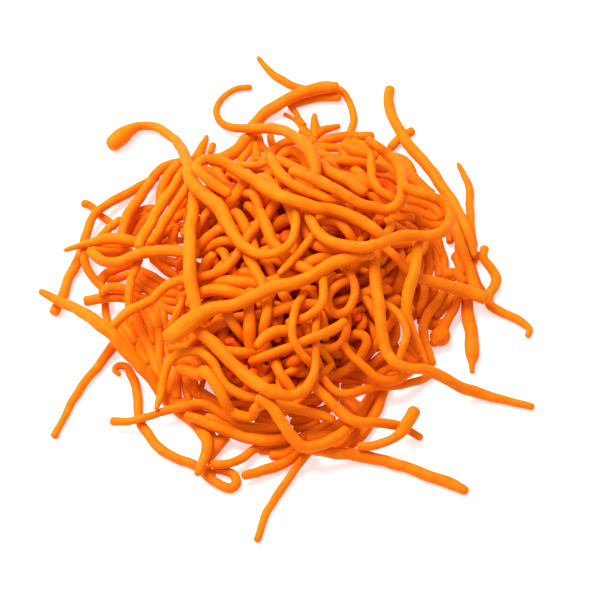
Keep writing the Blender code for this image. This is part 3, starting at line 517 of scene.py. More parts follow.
BACK = (
    (2.8, (4.3, 49.2), (4.4, 52.4, 2.6), (4.4, 55.7, 1.4)),
    (2.6, (5.0, 49.8), (8.0, 51.5, 2.2), (11.5, 52.4, 1.5)),
    (1.6, (-3.0, 58.6), (-1.0, 56.2), (1.2, 52.9)),
    (1.2, (-4.5, 55.9), (-2.0, 54.5), (0.2, 51.9)),
    (2.5, (14.5, 49.3), (18.0, 49.3), (21.3, 49.4)),
    (2.5, (33.5, 50.8), (31.0, 49.5), (28.5, 47.5), (27.0, 45.3)),
    (3.2, (-31.5, 42.0), (-29.8, 45.5, 2.6), (-28.2, 49.2, 1.3)),
    (1.8, (-27.0, 44.5), (-26.2, 46.7)),
    (2.6, (7.0, 48.0), (10.5, 48.5), (14.0, 49.5)),
    (2.4, (5.5, 46.3), (9.0, 46.0), (12.8, 45.3), (13.5, 43.5)),
    (2.6, (6.0, 45.0), (8.0, 42.8), (10.0, 42.8)),
    (2.6, (8.5, 41.5), (12.0, 42.0), (15.5, 41.6), (20.0, 40.3)),
    (3.4, (13.5, 46.3), (16.5, 44.9), (20.5, 44.0)),
    (3.0, (16.0, 47.3), (19.5, 45.8), (23.5, 43.0)),
    (3.0, (-5.5, 43.0), (-3.5, 44.8), (-0.5, 44.3), (1.8, 41.8), (1.8, 39.5)),
    (2.8, (-13.0, 38.5), (-11.0, 42.0), (-8.0, 45.0), (-4.0, 47.3), (-0.5, 48.5)),
    (2.4, (-12.0, 39.0), (-9.0, 39.8), (-6.0, 40.5)),
    (3.6, (-16.3, 48.3), (-19.3, 44.9), (-22.8, 42.6), (-27.0, 41.8)),
    (2.6, (-15.0, 49.5), (-15.8, 45.0), (-17.5, 42.0)),
    (1.8, (-14.0, 49.5), (-14.0, 44.5), (-14.5, 41.0)),
    (2.0, (-12.5, 49.5), (-11.5, 46.5), (-10.0, 45.0)),
    (2.0, (-9.0, 49.5), (-8.3, 46.5)),
    (3.0, (10.0, 40.0), (14.0, 39.5), (18.0, 38.0)),
    (2.0, (16.5, 37.3), (20.0, 36.0)),
    (3.0, (1.0, 50.8), (4.0, 47.5)),
    (2.6, (-13.3, 46.5), (-12.8, 41.5)),
    (2.4, (15.0, 47.3), (19.0, 46.8)),
    (3.2, (-7.5, 41.8), (-3.5, 43.2), (1.0, 42.2), (4.0, 40.0)),
    (3.2, (-6.0, 39.5), (-2.0, 40.8), (2.0, 38.5)),
    (3.0, (17.0, 35.8), (21.5, 35.6), (25.5, 34.2)),
)

# Short strands under all of those, in the gaps that look deepest into the heap.
FILLING = (
    (3.4, (-10.0, 28.5), (-6.0, 27.0), (-2.0, 26.5)),
    (3.0, (-37.5, 24.5), (-36.3, 27.5), (-34.5, 30.5)),
    (3.0, (-15.0, -33.0), (-10.5, -34.0), (-6.5, -35.5)),
    (3.2, (-8.0, -7.0), (-4.5, -5.0), (-0.5, -4.5)),
    (3.0, (9.5, 0.5), (12.8, 2.0), (16.0, 4.0)),
    (3.0, (-5.0, 0.0), (-1.5, 1.8), (2.0, 2.0)),
    (3.0, (-14.0, 10.5), (-11.0, 8.8), (-8.0, 8.0)),
    (3.0, (-11.0, -14.0), (-6.5, -12.5), (-3.5, -11.0)),
    (3.0, (14.5, -22.0), (17.5, -20.5), (20.5, -19.5)),
    (3.0, (3.0, -41.5), (7.0, -40.5), (10.0, -39.0)),
    (3.0, (13.5, -8.0), (16.0, -8.5), (19.0, -8.5)),
    (3.0, (-48.5, 18.0), (-46.0, 16.5), (-43.5, 15.5)),
    (2.8, (-53.0, -7.0), (-51.0, -10.0), (-49.5, -12.5)),
    (2.6, (-45.0, -0.5), (-43.0, -2.0), (-41.0, -3.5)),
    (3.2, (47.0, 13.0), (48.2, 10.5), (49.0, 8.0)),
    (3.2, (44.0, 7.8), (47.0, 7.8), (49.3, 5.5)),
    (3.0, (34.6, 4.5), (35.0, 1.0), (34.0, -3.0)),
    (3.2, (38.5, -7.0), (41.0, -7.8), (43.0, -7.5)),
    (2.4, (-44.4, 36.5), (-41.7, 39.8), (-37.9, 41.3)),
    (3.6, (-29.0, -28.5), (-25.0, -31.0), (-20.0, -33.5)),
    (3.6, (-27.0, -35.5), (-20.0, -37.8), (-13.0, -38.8)),
    (3.6, (-34.5, -22.0), (-32.5, -25.5), (-29.5, -28.5)),
    (3.4, (-14.0, -39.5), (-8.0, -40.3), (-2.0, -41.0)),
    (3.2, (-46.5, -2.5), (-44.5, -4.8), (-42.5, -8.0)),
    (3.2, (-40.5, -27.5), (-38.5, -30.0), (-34.5, -32.0)),
)

# Short strands that pass over a long one: the long strands they cross, then the strand itself.
CROSSING = (
    (
        ("middle_hook_strand",),
        (2.5, (-12.3, -17.6), (-9.0, -16.4), (-5.0, -14.9), (-1.0, -13.2), (3.0, -11.3), (7.0, -10.0),
         (10.0, -8.8), (12.2, -7.3)),
    ),
    (
        ("middle_hook_strand",),
        (2.4, (7.0, 5.3), (7.1, 2.5), (6.6, -0.5), (4.8, -3.0), (2.0, -5.0), (-1.2, -6.1)),
    ),
    (
        ("crossing_0",),
        (2.2, (0.3, 0.6), (-1.2, -1.8), (-2.0, -5.0), (-2.1, -9.0), (-1.6, -12.5), (-0.2, -15.2),
         (1.6, -17.3), (3.0, -18.8)),
    ),
)

# ---------------------------------------------------------------- how the short strands lie

# The mound's profile: how square its shoulder is, and how round its top.
MOUND_FLANK = 2.5
MOUND_ROUND = 0.55
MOUND_STEPS = 93
# A strand's tightest bend over what it rests on, how much it is eased there, and the gap where strands touch.
STIFF_RADIUS = 9.0
STIFF_EASE = 2.2
TOUCH_GAP = 0.05
SAMPLE = 1.0
# How deep a short strand sits in the mound's surface, in radii, and how much fuller it is than its route.
SINK = 0.9
FULLER = 1.13
# How far a tucked end reaches on and sinks over its last stretch, where the heap is at least this high.
TUCK_REACH = 2.0
TUCK_DROP = 3.0
TUCK_BODY = 6.0
DIVE_RUN = 5.0
# A buried strand's walk: how far out it starts and stays, how its bend changes, and how it turns back.
START_SHARE = 0.92
START_BEND = 0.05
BEND_CHANGE = 0.022
BEND_EASE = 0.10
EDGE_SHARE = 0.955
EDGE_ANGLE = 1.75
EDGE_TURN = 0.30
LOOK_AHEAD = 0.5
# How it thins towards its ends, how far in it may sink, and how its depth is found and eased.
THIN_END = 0.72
THIN_RUN = 4.0
CORE_SHARE = 0.62
SEARCH_MARGIN = 5.0
ROOM_ROUNDS = 6
BURIED_EASE = 2.6
# Steps along the drawn strands, and sides round them.
STRAND_STEP = 0.8
INNER_STEP = 0.9
BURIED_STEP = 1.3
STRAND_SIDES = 20
INNER_SIDES = 16
BURIED_SIDES = 11


def to_plane(points):
    """Turn x, y, z into x, v and depth w: the drafting plane's own axes, w towards the eye."""
    x, y, z = points[:, 0], points[:, 1], points[:, 2]
    return np.stack((x, y * LEAN_SIN + z * LEAN_COS, z * LEAN_SIN - y * LEAN_COS), axis=1)


def from_plane(points):
    """Turn x, v and depth w back into x, y and z."""
    x, v, w = points[:, 0], points[:, 1], points[:, 2]
    return np.stack((x, v * LEAN_SIN - w * LEAN_COS, v * LEAN_COS + w * LEAN_SIN), axis=1)


def longer(line, left, right):
    """Carry a line of even steps straight on at its first and last point, by lengths in mm."""
    step = np.linalg.norm(line[1, :-1] - line[0, :-1])
    before = np.arange(round(left / step), 0, -1)[:, None]
    after = np.arange(1, round(right / step) + 1)[:, None]
    first = line[0] + (line[0] - line[1]) * before
    last = line[-1] + (line[-1] - line[-2]) * after
    first[:, -1] = line[0, -1]
    last[:, -1] = line[-1, -1]
    return np.concatenate((first, line, last))


def dive(along, left, right):
    """How far a strand sinks into the heap near its two ends, away from the eye."""
    near_left = np.clip(1.0 - along / DIVE_RUN, 0.0, 1.0) ** 2
    near_right = np.clip(1.0 - (along[-1] - along) / DIVE_RUN, 0.0, 1.0) ** 2
    return left * near_left + right * near_right


def stiff_over(along, need):
    """The lowest stiff curve that stays above the needed heights."""
    gap = along[:, None] - along[None, :]
    fall = gap**2 / (2.0 * STIFF_RADIUS)
    held = (need[None, :] - fall).max(axis=1)
    weight = np.exp(-0.5 * (gap / STIFF_EASE) ** 2)
    eased = (weight * held[None, :]).sum(axis=1) / weight.sum(axis=1)
    return eased + np.maximum((need - eased)[None, :] - fall, 0.0).max(axis=1)


class Mound:
    """The mound's surface, from its solid in the frame, in the routes' own place."""

    def __init__(self, shift):
        corners = np.array([vert.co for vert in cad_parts[PILE_NODE].data.vertices]) / MM - shift
        top = corners[corners[:, 2].argmax()]
        self.height = top[2]
        self.centre = top[:2]
        foot = np.unique(np.round(corners[corners[:, 2] < 0.01, :2], 2), axis=0) - self.centre
        foot = foot[np.linalg.norm(foot, axis=1) > 5.0]
        angle = np.arctan2(foot[:, 1], foot[:, 0])
        order = np.argsort(angle)
        self.angle = angle[order]
        self.reach = np.linalg.norm(foot, axis=1)[order]

    def share(self, x, y):
        """How far out a place is: 0 at the middle and 1 at the foot."""
        dx = x - self.centre[0]
        dy = y - self.centre[1]
        reach = np.interp(np.arctan2(dy, dx), self.angle, self.reach, period=2.0 * math.pi)
        return np.hypot(dx, dy) / reach

    def top(self, x, y):
        """Height of the mound's surface over a place."""
        share = np.clip(self.share(x, y), 0.0, 1.0)
        return self.height * (1.0 - share**MOUND_FLANK) ** MOUND_ROUND

    def depth(self, x, v):
        """Depth w at which the line of sight through (x, v) meets the mound, or the floor."""
        z = np.linspace(self.height, 0.0, MOUND_STEPS)[None, :]
        y = (v[:, None] - z * LEAN_COS) / LEAN_SIN
        above = z - self.top(x[:, None], y)
        inside = above <= 0.0
        first = np.where(inside.any(axis=1), inside.argmax(axis=1), z.shape[1] - 1)
        before = np.maximum(first - 1, 0)
        rows = np.arange(len(x))
        a, b = above[rows, before], above[rows, first]
        share = np.where(inside.any(axis=1) & (a > b), a / np.maximum(a - b, 1e-9), 1.0)
        height = z[0, before] + (z[0, first] - z[0, before]) * np.clip(share, 0.0, 1.0)
        return (height - v * LEAN_COS) / LEAN_SIN


class Heap:
    """Everything that has been laid so far, and the rules for laying the next short strand."""

    def __init__(self):
        self.shift = frame_shift()
        self.mound = Mound(self.shift)
        self.long_lines = {}
        self.points = np.zeros((0, 3))
        self.radii = np.zeros(0)
        self.labels = np.zeros(0, int)
        self.names = []
        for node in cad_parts:
            if node == PILE_NODE:
                continue
            line = cad_line(node)
            if line[0, 0] > line[-1, 0]:
                line = line[::-1]
            line[:, :3] -= self.shift
            self.long_lines[node] = even_line(smooth_line(line), STRAND_STEP)
            self.remember(node, even_line(smooth_line(line), SAMPLE))

    def remember(self, name, line):
        """Add a strand to what has been laid."""
        self.points = np.concatenate((self.points, line[:, :3]))
        self.radii = np.concatenate((self.radii, line[:, 3] * 0.5))
        self.labels = np.concatenate((self.labels, np.full(len(line), len(self.names))))
        self.names.append(name)

    def lay_seen(self, name, width, route, over=(), tucked=True):
        """Lay a short strand by its route on the drafting plane, under all that was laid before it."""
        rows = [(*point[:2], FULLER * (point[2] if len(point) == 3 else width)) for point in route]
        if len(rows) == 2:
            rows.insert(1, tuple(0.5 * (a + b) for a, b in zip(*rows)))
        line = even_line(smooth_line(rows), SAMPLE)
        if tucked:
            body = self.mound.depth(line[:, 0], line[:, 1]) * LEAN_SIN + line[:, 1] * LEAN_COS
            line = longer(line, *(TUCK_REACH * (height > TUCK_BODY) for height in body[[0, -1]]))
        x, v, radius = line[:, 0], line[:, 1], line[:, 2] * 0.5
        along = arc_length(line[:, :2])
        floor = (radius + TOUCH_GAP - v * LEAN_COS) / LEAN_SIN
        ceiling = np.maximum(self.mound.depth(x, v) - SINK * radius, floor)
        laid = to_plane(self.points)
        rise = (radius[:, None] + self.radii[None, :] + TOUCH_GAP) ** 2
        rise -= (x[:, None] - laid[None, :, 0]) ** 2 + (v[:, None] - laid[None, :, 1]) ** 2
        touch = rise > 0.0
        reach = np.sqrt(np.maximum(rise, 0.0))
        crossed = np.isin(self.labels, [self.names.index(n) for n in over])
        block = np.where(touch & ~crossed[None, :], laid[None, :, 2] - reach, np.inf).min(axis=1)
        depth = -stiff_over(along, -np.minimum(ceiling, block))
        if over:
            ground = np.where(touch & crossed[None, :], laid[None, :, 2] + reach, -np.inf).max(axis=1)
            depth = stiff_over(along, np.maximum(depth, ground))
        if tucked:
            depth = depth - dive(along, TUCK_DROP, TUCK_DROP)
        depth = np.maximum(depth, floor)
        placed = np.column_stack((from_plane(np.stack((x, v, depth), axis=1)), line[:, 2]))
        self.remember(name, placed)
        return even_line(smooth_line(placed[::2] if len(placed) > 8 else placed), INNER_STEP)

    def wander(self, random, length):
        """A made-up path over the mound's surface: a walk whose bend changes slowly."""
        angle = random.uniform(0.0, 2.0 * math.pi)
        out = math.sqrt(random.uniform(0.0, START_SHARE))
        reach = float(np.interp(angle, self.mound.angle, self.mound.reach, period=2.0 * math.pi))
        x = self.mound.centre[0] + out * reach * math.cos(angle)
        y = self.mound.centre[1] + out * reach * math.sin(angle)
        heading = random.uniform(0.0, 2.0 * math.pi)
        bend = random.normal(0.0, START_BEND)
        path = []
        for _ in range(int(length / SAMPLE)):
            path.append((x, y))
            ahead = self.mound.top(x + LOOK_AHEAD * math.cos(heading), y + LOOK_AHEAD * math.sin(heading))
            slope = (ahead - self.mound.top(x, y)) / LOOK_AHEAD
            run = SAMPLE / math.sqrt(1.0 + slope**2)
            x += run * math.cos(heading)
            y += run * math.sin(heading)
            bend += random.normal(0.0, BEND_CHANGE) - BEND_EASE * bend
            turn = bend * SAMPLE
            if self.mound.share(x, y) > EDGE_SHARE:
                outward = math.atan2(y - self.mound.centre[1], x - self.mound.centre[0])
                aside = math.remainder(heading - outward, 2.0 * math.pi)
                if abs(aside) < EDGE_ANGLE:
                    turn = math.copysign(EDGE_TURN, aside)
            heading += turn
        return np.array(path)

    def lay_buried(self, name, width, path, level):
        """Lay a strand along a path over the mound, in the first free room at or under a level, in mm."""
        radius = np.full(len(path), width * 0.5)
        fullness = THIN_RUN * np.sin(np.linspace(0.02, math.pi - 0.02, len(path)))
        radius *= THIN_END + (1.0 - THIN_END) * np.minimum(1.0, fullness)
        surface = np.column_stack((path, self.mound.top(path[:, 0], path[:, 1])))
        inner = self.mound.centre + (path - self.mound.centre) * CORE_SHARE
        target = np.column_stack((inner, np.zeros(len(path))))
        inward = target - surface
        room = np.linalg.norm(inward, axis=1)
        inward /= np.maximum(room, 1e-6)[:, None]
        start = surface + inward * (radius * SINK)[:, None]
        low = np.minimum(start, target).min(axis=0) - SEARCH_MARGIN
        high = np.maximum(start, target).max(axis=0) + SEARCH_MARGIN
        near = np.all((self.points > low) & (self.points < high), axis=1)
        relative = self.points[near][None, :, :] - start[:, None, :]
        ahead = np.einsum("ijk,ik->ij", relative, inward)
        rise = (radius[:, None] + self.radii[near][None, :] + TOUCH_GAP) ** 2
        rise -= np.einsum("ijk,ijk->ij", relative, relative) - ahead**2
        half = np.sqrt(np.maximum(rise, 0.0))
        first = np.where(rise > 0.0, ahead - half, np.inf)
        last = np.where(rise > 0.0, ahead + half, -np.inf)
        push = np.full(len(path), level)
        for _ in range(ROOM_ROUNDS):
            blocked = (first < push[:, None]) & (last > push[:, None])
            push = np.maximum(push, np.where(blocked, last, -np.inf).max(axis=1, initial=-np.inf))
        along = arc_length(surface)
        gap = along[:, None] - along[None, :]
        weight = np.exp(-0.5 * (gap / BURIED_EASE) ** 2)
        push = (weight * push[None, :]).sum(axis=1) / weight.sum(axis=1)
        push = np.minimum(push, np.maximum(room - 2.0 * radius, 0.0))
        placed = np.column_stack((start + inward * push[:, None], 2.0 * radius))
        placed[:, 2] = np.maximum(placed[:, 2], radius + TOUCH_GAP)
        self.remember(name, placed)
        return even_line(smooth_line(placed[::2]), BURIED_STEP)


_heap = []


def heap():
    """The one heap that the operators lay strands in, made when it is first asked for."""
    if not _heap:
        _heap.append(Heap())
    return _heap[0]

# ---------------------------------------------------------------- materials


def add_node(tree, kind, inputs=(), **settings):
    """Add a shader node, set its properties, and give each named input a value or a link."""
    node = tree.nodes.new(kind)
    for name, value in settings.items():
        setattr(node, name, value)
    for socket, value in dict(inputs).items():
        if isinstance(value, bpy.types.NodeSocket):
            tree.links.new(value, node.inputs[socket])
        else:
            node.inputs[socket].default_value = value
    return node


# Sizes of the flesh's patterns, in mm. Fibres are drawn coarser than real ones, so that they show.
FIBRE_WIDTH = 0.28
FIBRE_LENGTH = 9.0
MOTTLE_SIZE = 2.6
BLOTCH_SIZE = 9.0
SPECK_SIZE = 0.55


def fungus_skin(name, settings, depth_shade_offset, shades):
    """Skin of a fresh cordyceps fruiting body, grown and not worked: thin, close, faintly furrowed flesh.

    It gives the eye a soft satin surface whose light sinks in a little, orange on the lit side and red in
    the folds, with fine lengthwise fibres, slow blotches of yellower flesh and a few dark specks. The shades
    are its red ground, its common ground and its mottling. The depth shade offset is painted light and shade:
    it moves strands on top towards the yellower ground and deeper strands towards the red one."""
    red_ground, ground_colour, mottling = shades
    material = bpy.data.materials.new(name)
    material.use_nodes = True
    tree = material.node_tree
    tree.nodes.clear()
    place = add_node(tree, "ShaderNodeAttribute", attribute_name="straight")
    tone = add_node(tree, "ShaderNodeAttribute", attribute_name="tone")
    fibre_place = add_node(
        tree, "ShaderNodeMapping",
        {"Vector": place.outputs["Vector"], "Scale": (1 / FIBRE_WIDTH, 1 / FIBRE_WIDTH, 1 / FIBRE_LENGTH)},
    )
    fibre = add_node(
        tree, "ShaderNodeTexNoise", {"Vector": fibre_place.outputs[0], "Scale": 1.0, "Detail": 2.0}
    )
    mottle = add_node(
        tree, "ShaderNodeTexNoise",
        {"Vector": place.outputs["Vector"], "Scale": 1 / MOTTLE_SIZE, "Detail": 4.0, "Roughness": 0.6},
    )
    blotch = add_node(
        tree, "ShaderNodeTexNoise",
        {"Vector": place.outputs["Vector"], "Scale": 1 / BLOTCH_SIZE, "Detail": 1.0},
    )
    speck = add_node(
        tree, "ShaderNodeTexNoise",
        {"Vector": place.outputs["Vector"], "Scale": 1 / SPECK_SIZE, "Detail": 1.0},
    )
    spread = add_node(
        tree, "ShaderNodeMath",
        {0: blotch.outputs["Fac"], 1: tone.outputs["Fac"]}, operation="MULTIPLY_ADD",
    )
    # Painted light and shade: this offset moves strands on top towards the yellower ground and deeper strands
    # towards the red ground.
    spread.inputs[2].default_value = depth_shade_offset
    pale = add_node(
        tree, "ShaderNodeMapRange",
        {"Value": spread.outputs[0], "From Min": 0.15, "From Max": 1.05, "To Min": 0.0, "To Max": 1.0},
    )
    ground = add_node(
        tree, "ShaderNodeMix",
        {0: pale.outputs[0], 6: (*red_ground, 1.0), 7: (*ground_colour, 1.0)},
        data_type="RGBA",
    )
    mottled_share = add_node(
        tree, "ShaderNodeMapRange",
        {"Value": mottle.outputs["Fac"], "From Min": 0.42, "From Max": 0.72, "To Min": 0.0, "To Max": 0.35},
    )
    mottled = add_node(
        tree, "ShaderNodeMix",
        {0: mottled_share.outputs[0], 6: ground.outputs[2], 7: (*mottling, 1.0)},
        data_type="RGBA",
    )
    speck_share = add_node(
        tree, "ShaderNodeMapRange",
        {"Value": speck.outputs["Fac"], "From Min": 0.70, "From Max": 0.78, "To Min": 0.0, "To Max": 0.30},
    )
    colour = add_node(
        tree, "ShaderNodeMix",
        {0: speck_share.outputs[0], 6: mottled.outputs[2], 7: (*settings.speck_colour, 1.0)},
        data_type="RGBA",
    )
    relief = add_node(
        tree, "ShaderNodeMath", {0: fibre.outputs["Fac"], 1: 0.7, 2: mottle.outputs["Fac"]},
        operation="MULTIPLY_ADD",
    )
    bump = add_node(
        tree, "ShaderNodeBump",
        {"Height": relief.outputs[0], "Strength": settings.relief, "Distance": settings.relief_depth},
    )
    gloss = add_node(
        tree, "ShaderNodeMapRange",
        {"Value": mottle.outputs["Fac"], "From Min": 0.3, "From Max": 0.7,
         "To Min": settings.roughness - 0.05, "To Max": settings.roughness + 0.08},
    )
    shader = add_node(
        tree, "ShaderNodeBsdfPrincipled",
        {
            "Base Color": colour.outputs[2],
            "Roughness": gloss.outputs[0],
            "Normal": bump.outputs[0],
            "IOR": settings.ior,
            "Subsurface Weight": settings.soft_light,
            "Subsurface Radius": settings.sink,
            "Subsurface Scale": settings.sink_depth,
            "Specular IOR Level": settings.shine,
        },
    )
    add_node(tree, "ShaderNodeOutputMaterial", {"Surface": shader.outputs[0]})
    return material


def skin(kind):
    """The skin of the long strands, the short strands or the buried strands, made once, with shade painted in
    by how deep they lie.
    """
    settings = bpy.context.scene.cordyceps_flesh
    lit = (settings.deep_colour, settings.skin_colour, settings.pale_colour)
    buried = (settings.crevice_shade_colour, settings.deep_colour, settings.skin_colour)
    # Painted light and shade: long strands on top lean to the yellower ground, short strands between them
    # lean to the red ground, and buried strands take the red crevice-shade colour as their ground.
    depth_shade_offset, shades = {"outer": (0.08, lit), "inner": (-0.06, lit), "buried": (-0.12, buried)}[kind]
    name = f"cordyceps_flesh_depth_shaded_{kind}"
    return bpy.data.materials.get(name) or fungus_skin(name, settings, depth_shade_offset, shades)


BOARD_GRAIN = 1.111
BOARD_ROUGHNESS = 0.9
BOARD_SHINE = 0.1


def opal_board(settings):
    """Opal acrylic board, sanded matte and lit from below.

    It gives the eye an even near-white ground with pale, short shadows."""
    material = bpy.data.materials.new("opal_acrylic_board_sanded")
    material.use_nodes = True
    tree = material.node_tree
    shader = tree.nodes["Principled BSDF"]
    shader.inputs["Roughness"].default_value = BOARD_ROUGHNESS
    shader.inputs["Specular IOR Level"].default_value = BOARD_SHINE
    place = add_node(tree, "ShaderNodeTexCoord")
    tooth = add_node(
        tree, "ShaderNodeTexNoise",
        {"Vector": place.outputs["Object"], "Scale": 1 / (BOARD_GRAIN * MM), "Detail": 2.0},
    )
    colour = add_node(
        tree, "ShaderNodeMix",
        {0: tooth.outputs["Fac"], 6: (*settings.board_colour, 1.0), 7: (*settings.board_tooth, 1.0)},
        data_type="RGBA",
    )
    tree.links.new(colour.outputs[2], shader.inputs["Base Color"])
    shader.inputs["Emission Color"].default_value = (1.0, 1.0, 1.0, 1.0)
    shader.inputs["Emission Strength"].default_value = settings.board_glow
    return material


# ---------------------------------------------------------------- settings


class CordycepsFlesh(bpy.types.PropertyGroup):
    """Colours and finish of the fungus flesh."""

    skin_colour: bpy.props.FloatVectorProperty(
        name="Skin", description="Flesh of a well-lit strand", subtype="COLOR", min=0.0, max=1.0,
        default=linear_rgb("#DA7406"),
    )
    deep_colour: bpy.props.FloatVectorProperty(
        name="Deep flesh", description="The redder strands", subtype="COLOR", min=0.0, max=1.0,
        default=linear_rgb("#DE6303"),
    )
    # Painted shade: the buried strands get this redder colour so that the heap's deep folds look like red
    # shaded crevices. The flesh there is not moister.
    crevice_shade_colour: bpy.props.FloatVectorProperty(
        name="Buried flesh", description="Moister, redder flesh deep in the heap", subtype="COLOR",
        min=0.0, max=1.0, default=linear_rgb("#EC5003"),
    )
    pale_colour: bpy.props.FloatVectorProperty(
        name="Pale flesh", description="Yellower mottling", subtype="COLOR", min=0.0, max=1.0,
        default=linear_rgb("#DE850F"),
    )
    speck_colour: bpy.props.FloatVectorProperty(
        name="Specks", description="Small dark pores", subtype="COLOR", min=0.0, max=1.0,
        default=linear_rgb("#C4500A"),
    )
    roughness: bpy.props.FloatProperty(
        name="Roughness", description="Satin skin: higher is duller", default=0.52, min=0.1, max=1.0
    )
    ior: bpy.props.FloatProperty(name="IOR", description="Moist fungus flesh", default=1.40, min=1.0, max=2.0)
    shine: bpy.props.FloatProperty(
        name="Shine", description="Strength of the skin's reflection", default=0.08, min=0.0, max=1.0
    )
    soft_light: bpy.props.FloatProperty(
        name="Soft light", description="Share of light that sinks into the flesh", default=0.25,
        min=0.0, max=1.0,
    )
    sink: bpy.props.FloatVectorProperty(
        name="Sink", description="How far red, green and blue light sink, one to another",
        default=(1.0, 0.22, 0.05),
    )
    sink_depth: bpy.props.FloatProperty(
        name="Sink depth", description="How far red light sinks", default=1.2 * MM, unit="LENGTH", min=0.0
    )
    relief: bpy.props.FloatProperty(
        name="Fibre relief", description="Strength of the fine fibres", default=0.35, min=0.0, max=1.0
    )
    relief_depth: bpy.props.FloatProperty(
        name="Fibre depth", description="Depth of the fine fibres", default=0.10 * MM, unit="LENGTH", min=0.0
    )


class CordycepsHeap(bpy.types.PropertyGroup):
    """How the heap is filled."""

    buried_count: bpy.props.IntProperty(
        name="Buried strands", description="How many buried strands are tried", default=340, min=0, max=2000
    )
    buried_seed: bpy.props.IntProperty(
        name="Seed", description="Start of the buried strands' draw", default=11
    )
    buried_thin: bpy.props.FloatProperty(
        name="Thinnest", description="Thinnest buried strand", default=2.3 * MM, unit="LENGTH"
    )
    buried_thick: bpy.props.FloatProperty(
        name="Thickest", description="Thickest buried strand", default=3.8 * MM, unit="LENGTH"
    )
    lumps: bpy.props.FloatProperty(
        name="Lumps", description="Depth of the slow swellings", default=1.6, min=0.0
    )
    furrows: bpy.props.FloatProperty(
        name="Furrows", description="Depth of the furrows", default=1.4, min=0.0
    )


class CordycepsStage(bpy.types.PropertyGroup):
    """Floor, light and camera."""

    board_colour: bpy.props.FloatVectorProperty(
        name="Floor", description="Colour of the floor", subtype="COLOR", min=0.0, max=1.0,
        default=linear_rgb("#DCDCDC"),
    )
    board_tooth: bpy.props.FloatVectorProperty(
        name="Floor tooth", description="Colour in the board's faint tooth", subtype="COLOR",
        min=0.0, max=1.0,
        default=linear_rgb("#DADADB"),
    )
    board_glow: bpy.props.FloatProperty(
        name="Floor glow", description="Light that comes up through the board", default=0.42, min=0.0, max=1.0
    )
    board_size: bpy.props.FloatProperty(
        name="Floor size", description="Side of the floor", default=8.0, unit="LENGTH"
    )
    sky: bpy.props.FloatProperty(name="Sky", description="Strength of the even light", default=0.86, min=0.0)
    bounces: bpy.props.IntProperty(
        name="Bounces", description="How often light may bounce between matte strands", default=8,
        min=0, max=12,
    )
    softbox_power: bpy.props.FloatProperty(
        name="Softbox", description="Power of the large soft lamp", default=27.0, unit="POWER"
    )
    softbox_size: bpy.props.FloatProperty(
        name="Softbox size", description="Side of the soft lamp", default=0.7, unit="LENGTH"
    )
    softbox_place: bpy.props.FloatVectorProperty(
        name="Softbox place", description="Where the soft lamp hangs", subtype="XYZ", unit="LENGTH",
        default=(-0.50, 0.42, 1.05),
    )
    view_width: bpy.props.FloatProperty(
        name="View width", description="Width of floor that the camera sees", default=180.0 * MM,
        unit="LENGTH",
    )
    lens: bpy.props.FloatProperty(name="Lens", description="Focal length", default=1200.0, unit="CAMERA")


# ---------------------------------------------------------------- operators

LEFT_NAMES = ("left_", "fan_")
FRONT_NAMES = ("front_",)
RIGHT_NAMES = ("right_",)
BACK_NAMES = ("back_",)

# Ends that aren't plainly rounded: the strand's left end and its right end.
STRAND_ENDS = {
    "left_pointed_strand": ("point", "round"),
    "left_prop": ("blunt", "round"),
    "left_inner_snake": ("blunt", "round"),
    "left_stub_strand": ("blunt", "round"),
    "front_left_straggler": ("blunt", "round"),
    "front_left_runner": ("round", "blunt"),
    "right_tapered_strand": ("round", "point"),
    "right_tip_strand": ("point", "round"),
    "back_arch": ("round", "blunt"),
    "back_tip_strand": ("point", "round"),
}

# Ends that go on under the strands around them: how much further the left end and the right end reach, in mm.
STRAND_TUCKS = {
    "top_middle_loop": (3.0, 0.0),
    "upper_inner_strand": (2.0, 2.0),
    "notched_strand": (2.0, 0.0),
    "middle_hook_strand": (0.0, 1.5),
    "top_left_hook": (0.0, 2.0),
    "loop_inner_strand": (0.0, 2.0),
    "long_hairpin_strand": (0.0, 1.5),
}


def long_strands(prefixes, others=()):
    """Names of the long strands of one side of the heap."""
    return sorted(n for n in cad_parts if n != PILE_NODE and (n.startswith(prefixes) or n in others))


def tucked_line(line, left, right):
    """A long strand's line with its hidden ends carried on and down into the heap."""
    if left == 0.0 and right == 0.0:
        return line
    line = longer(line, left, right)
    plane = to_plane(line[:, :3])
    along = arc_length(line[:, :3])
    plane[:, 2] -= dive(along, TUCK_DROP * (left > 0.0), TUCK_DROP * (right > 0.0))
    return np.column_stack((from_plane(plane), line[:, 3]))


def draw_long_strands(names):
    """Draw each named long strand in place of its solid."""
    settings = bpy.context.scene.cordyceps_heap
    for name in names:
        line = tucked_line(heap().long_lines[name], *STRAND_TUCKS.get(name, (0.0, 0.0)))
        tube = TubeMesh()
        seed = sum(ord(letter) * (k + 1) for k, letter in enumerate(name))
        ends = STRAND_ENDS.get(name, ("round", "round"))
        tube.add_strand(line, STRAND_SIDES, seed, ends, settings.lumps, settings.furrows)
        piece = tube.build(name + "_flesh", heap().shift)
        piece.data.materials.append(skin("outer"))
        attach(piece, "root")
        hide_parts(name)
    return {"FINISHED"}


# The deepest a buried strand is first tried at, how long it is, and into how many pieces they are gathered.
DEEPEST = 16.0
BURIED_LENGTHS = (18.0, 62.0)
BURIED_PIECES = 3
# How many of the strands at the back stand free at both ends.
FREE_BACK_TIPS = 6
# Where each group's draws start, and how far apart those of its strands lie.
SHORT_SEEDS = (1000, 17)
BURIED_SEEDS = (5000, 13)


def finish_inner(tube, name, kind):
    """Write a group of short strands as one piece that stands for the mound."""
    piece = tube.build(name, heap().shift)
    piece.data.materials.append(skin(kind))
    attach(piece, "root")
    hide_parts(PILE_NODE)
    return {"FINISHED"}


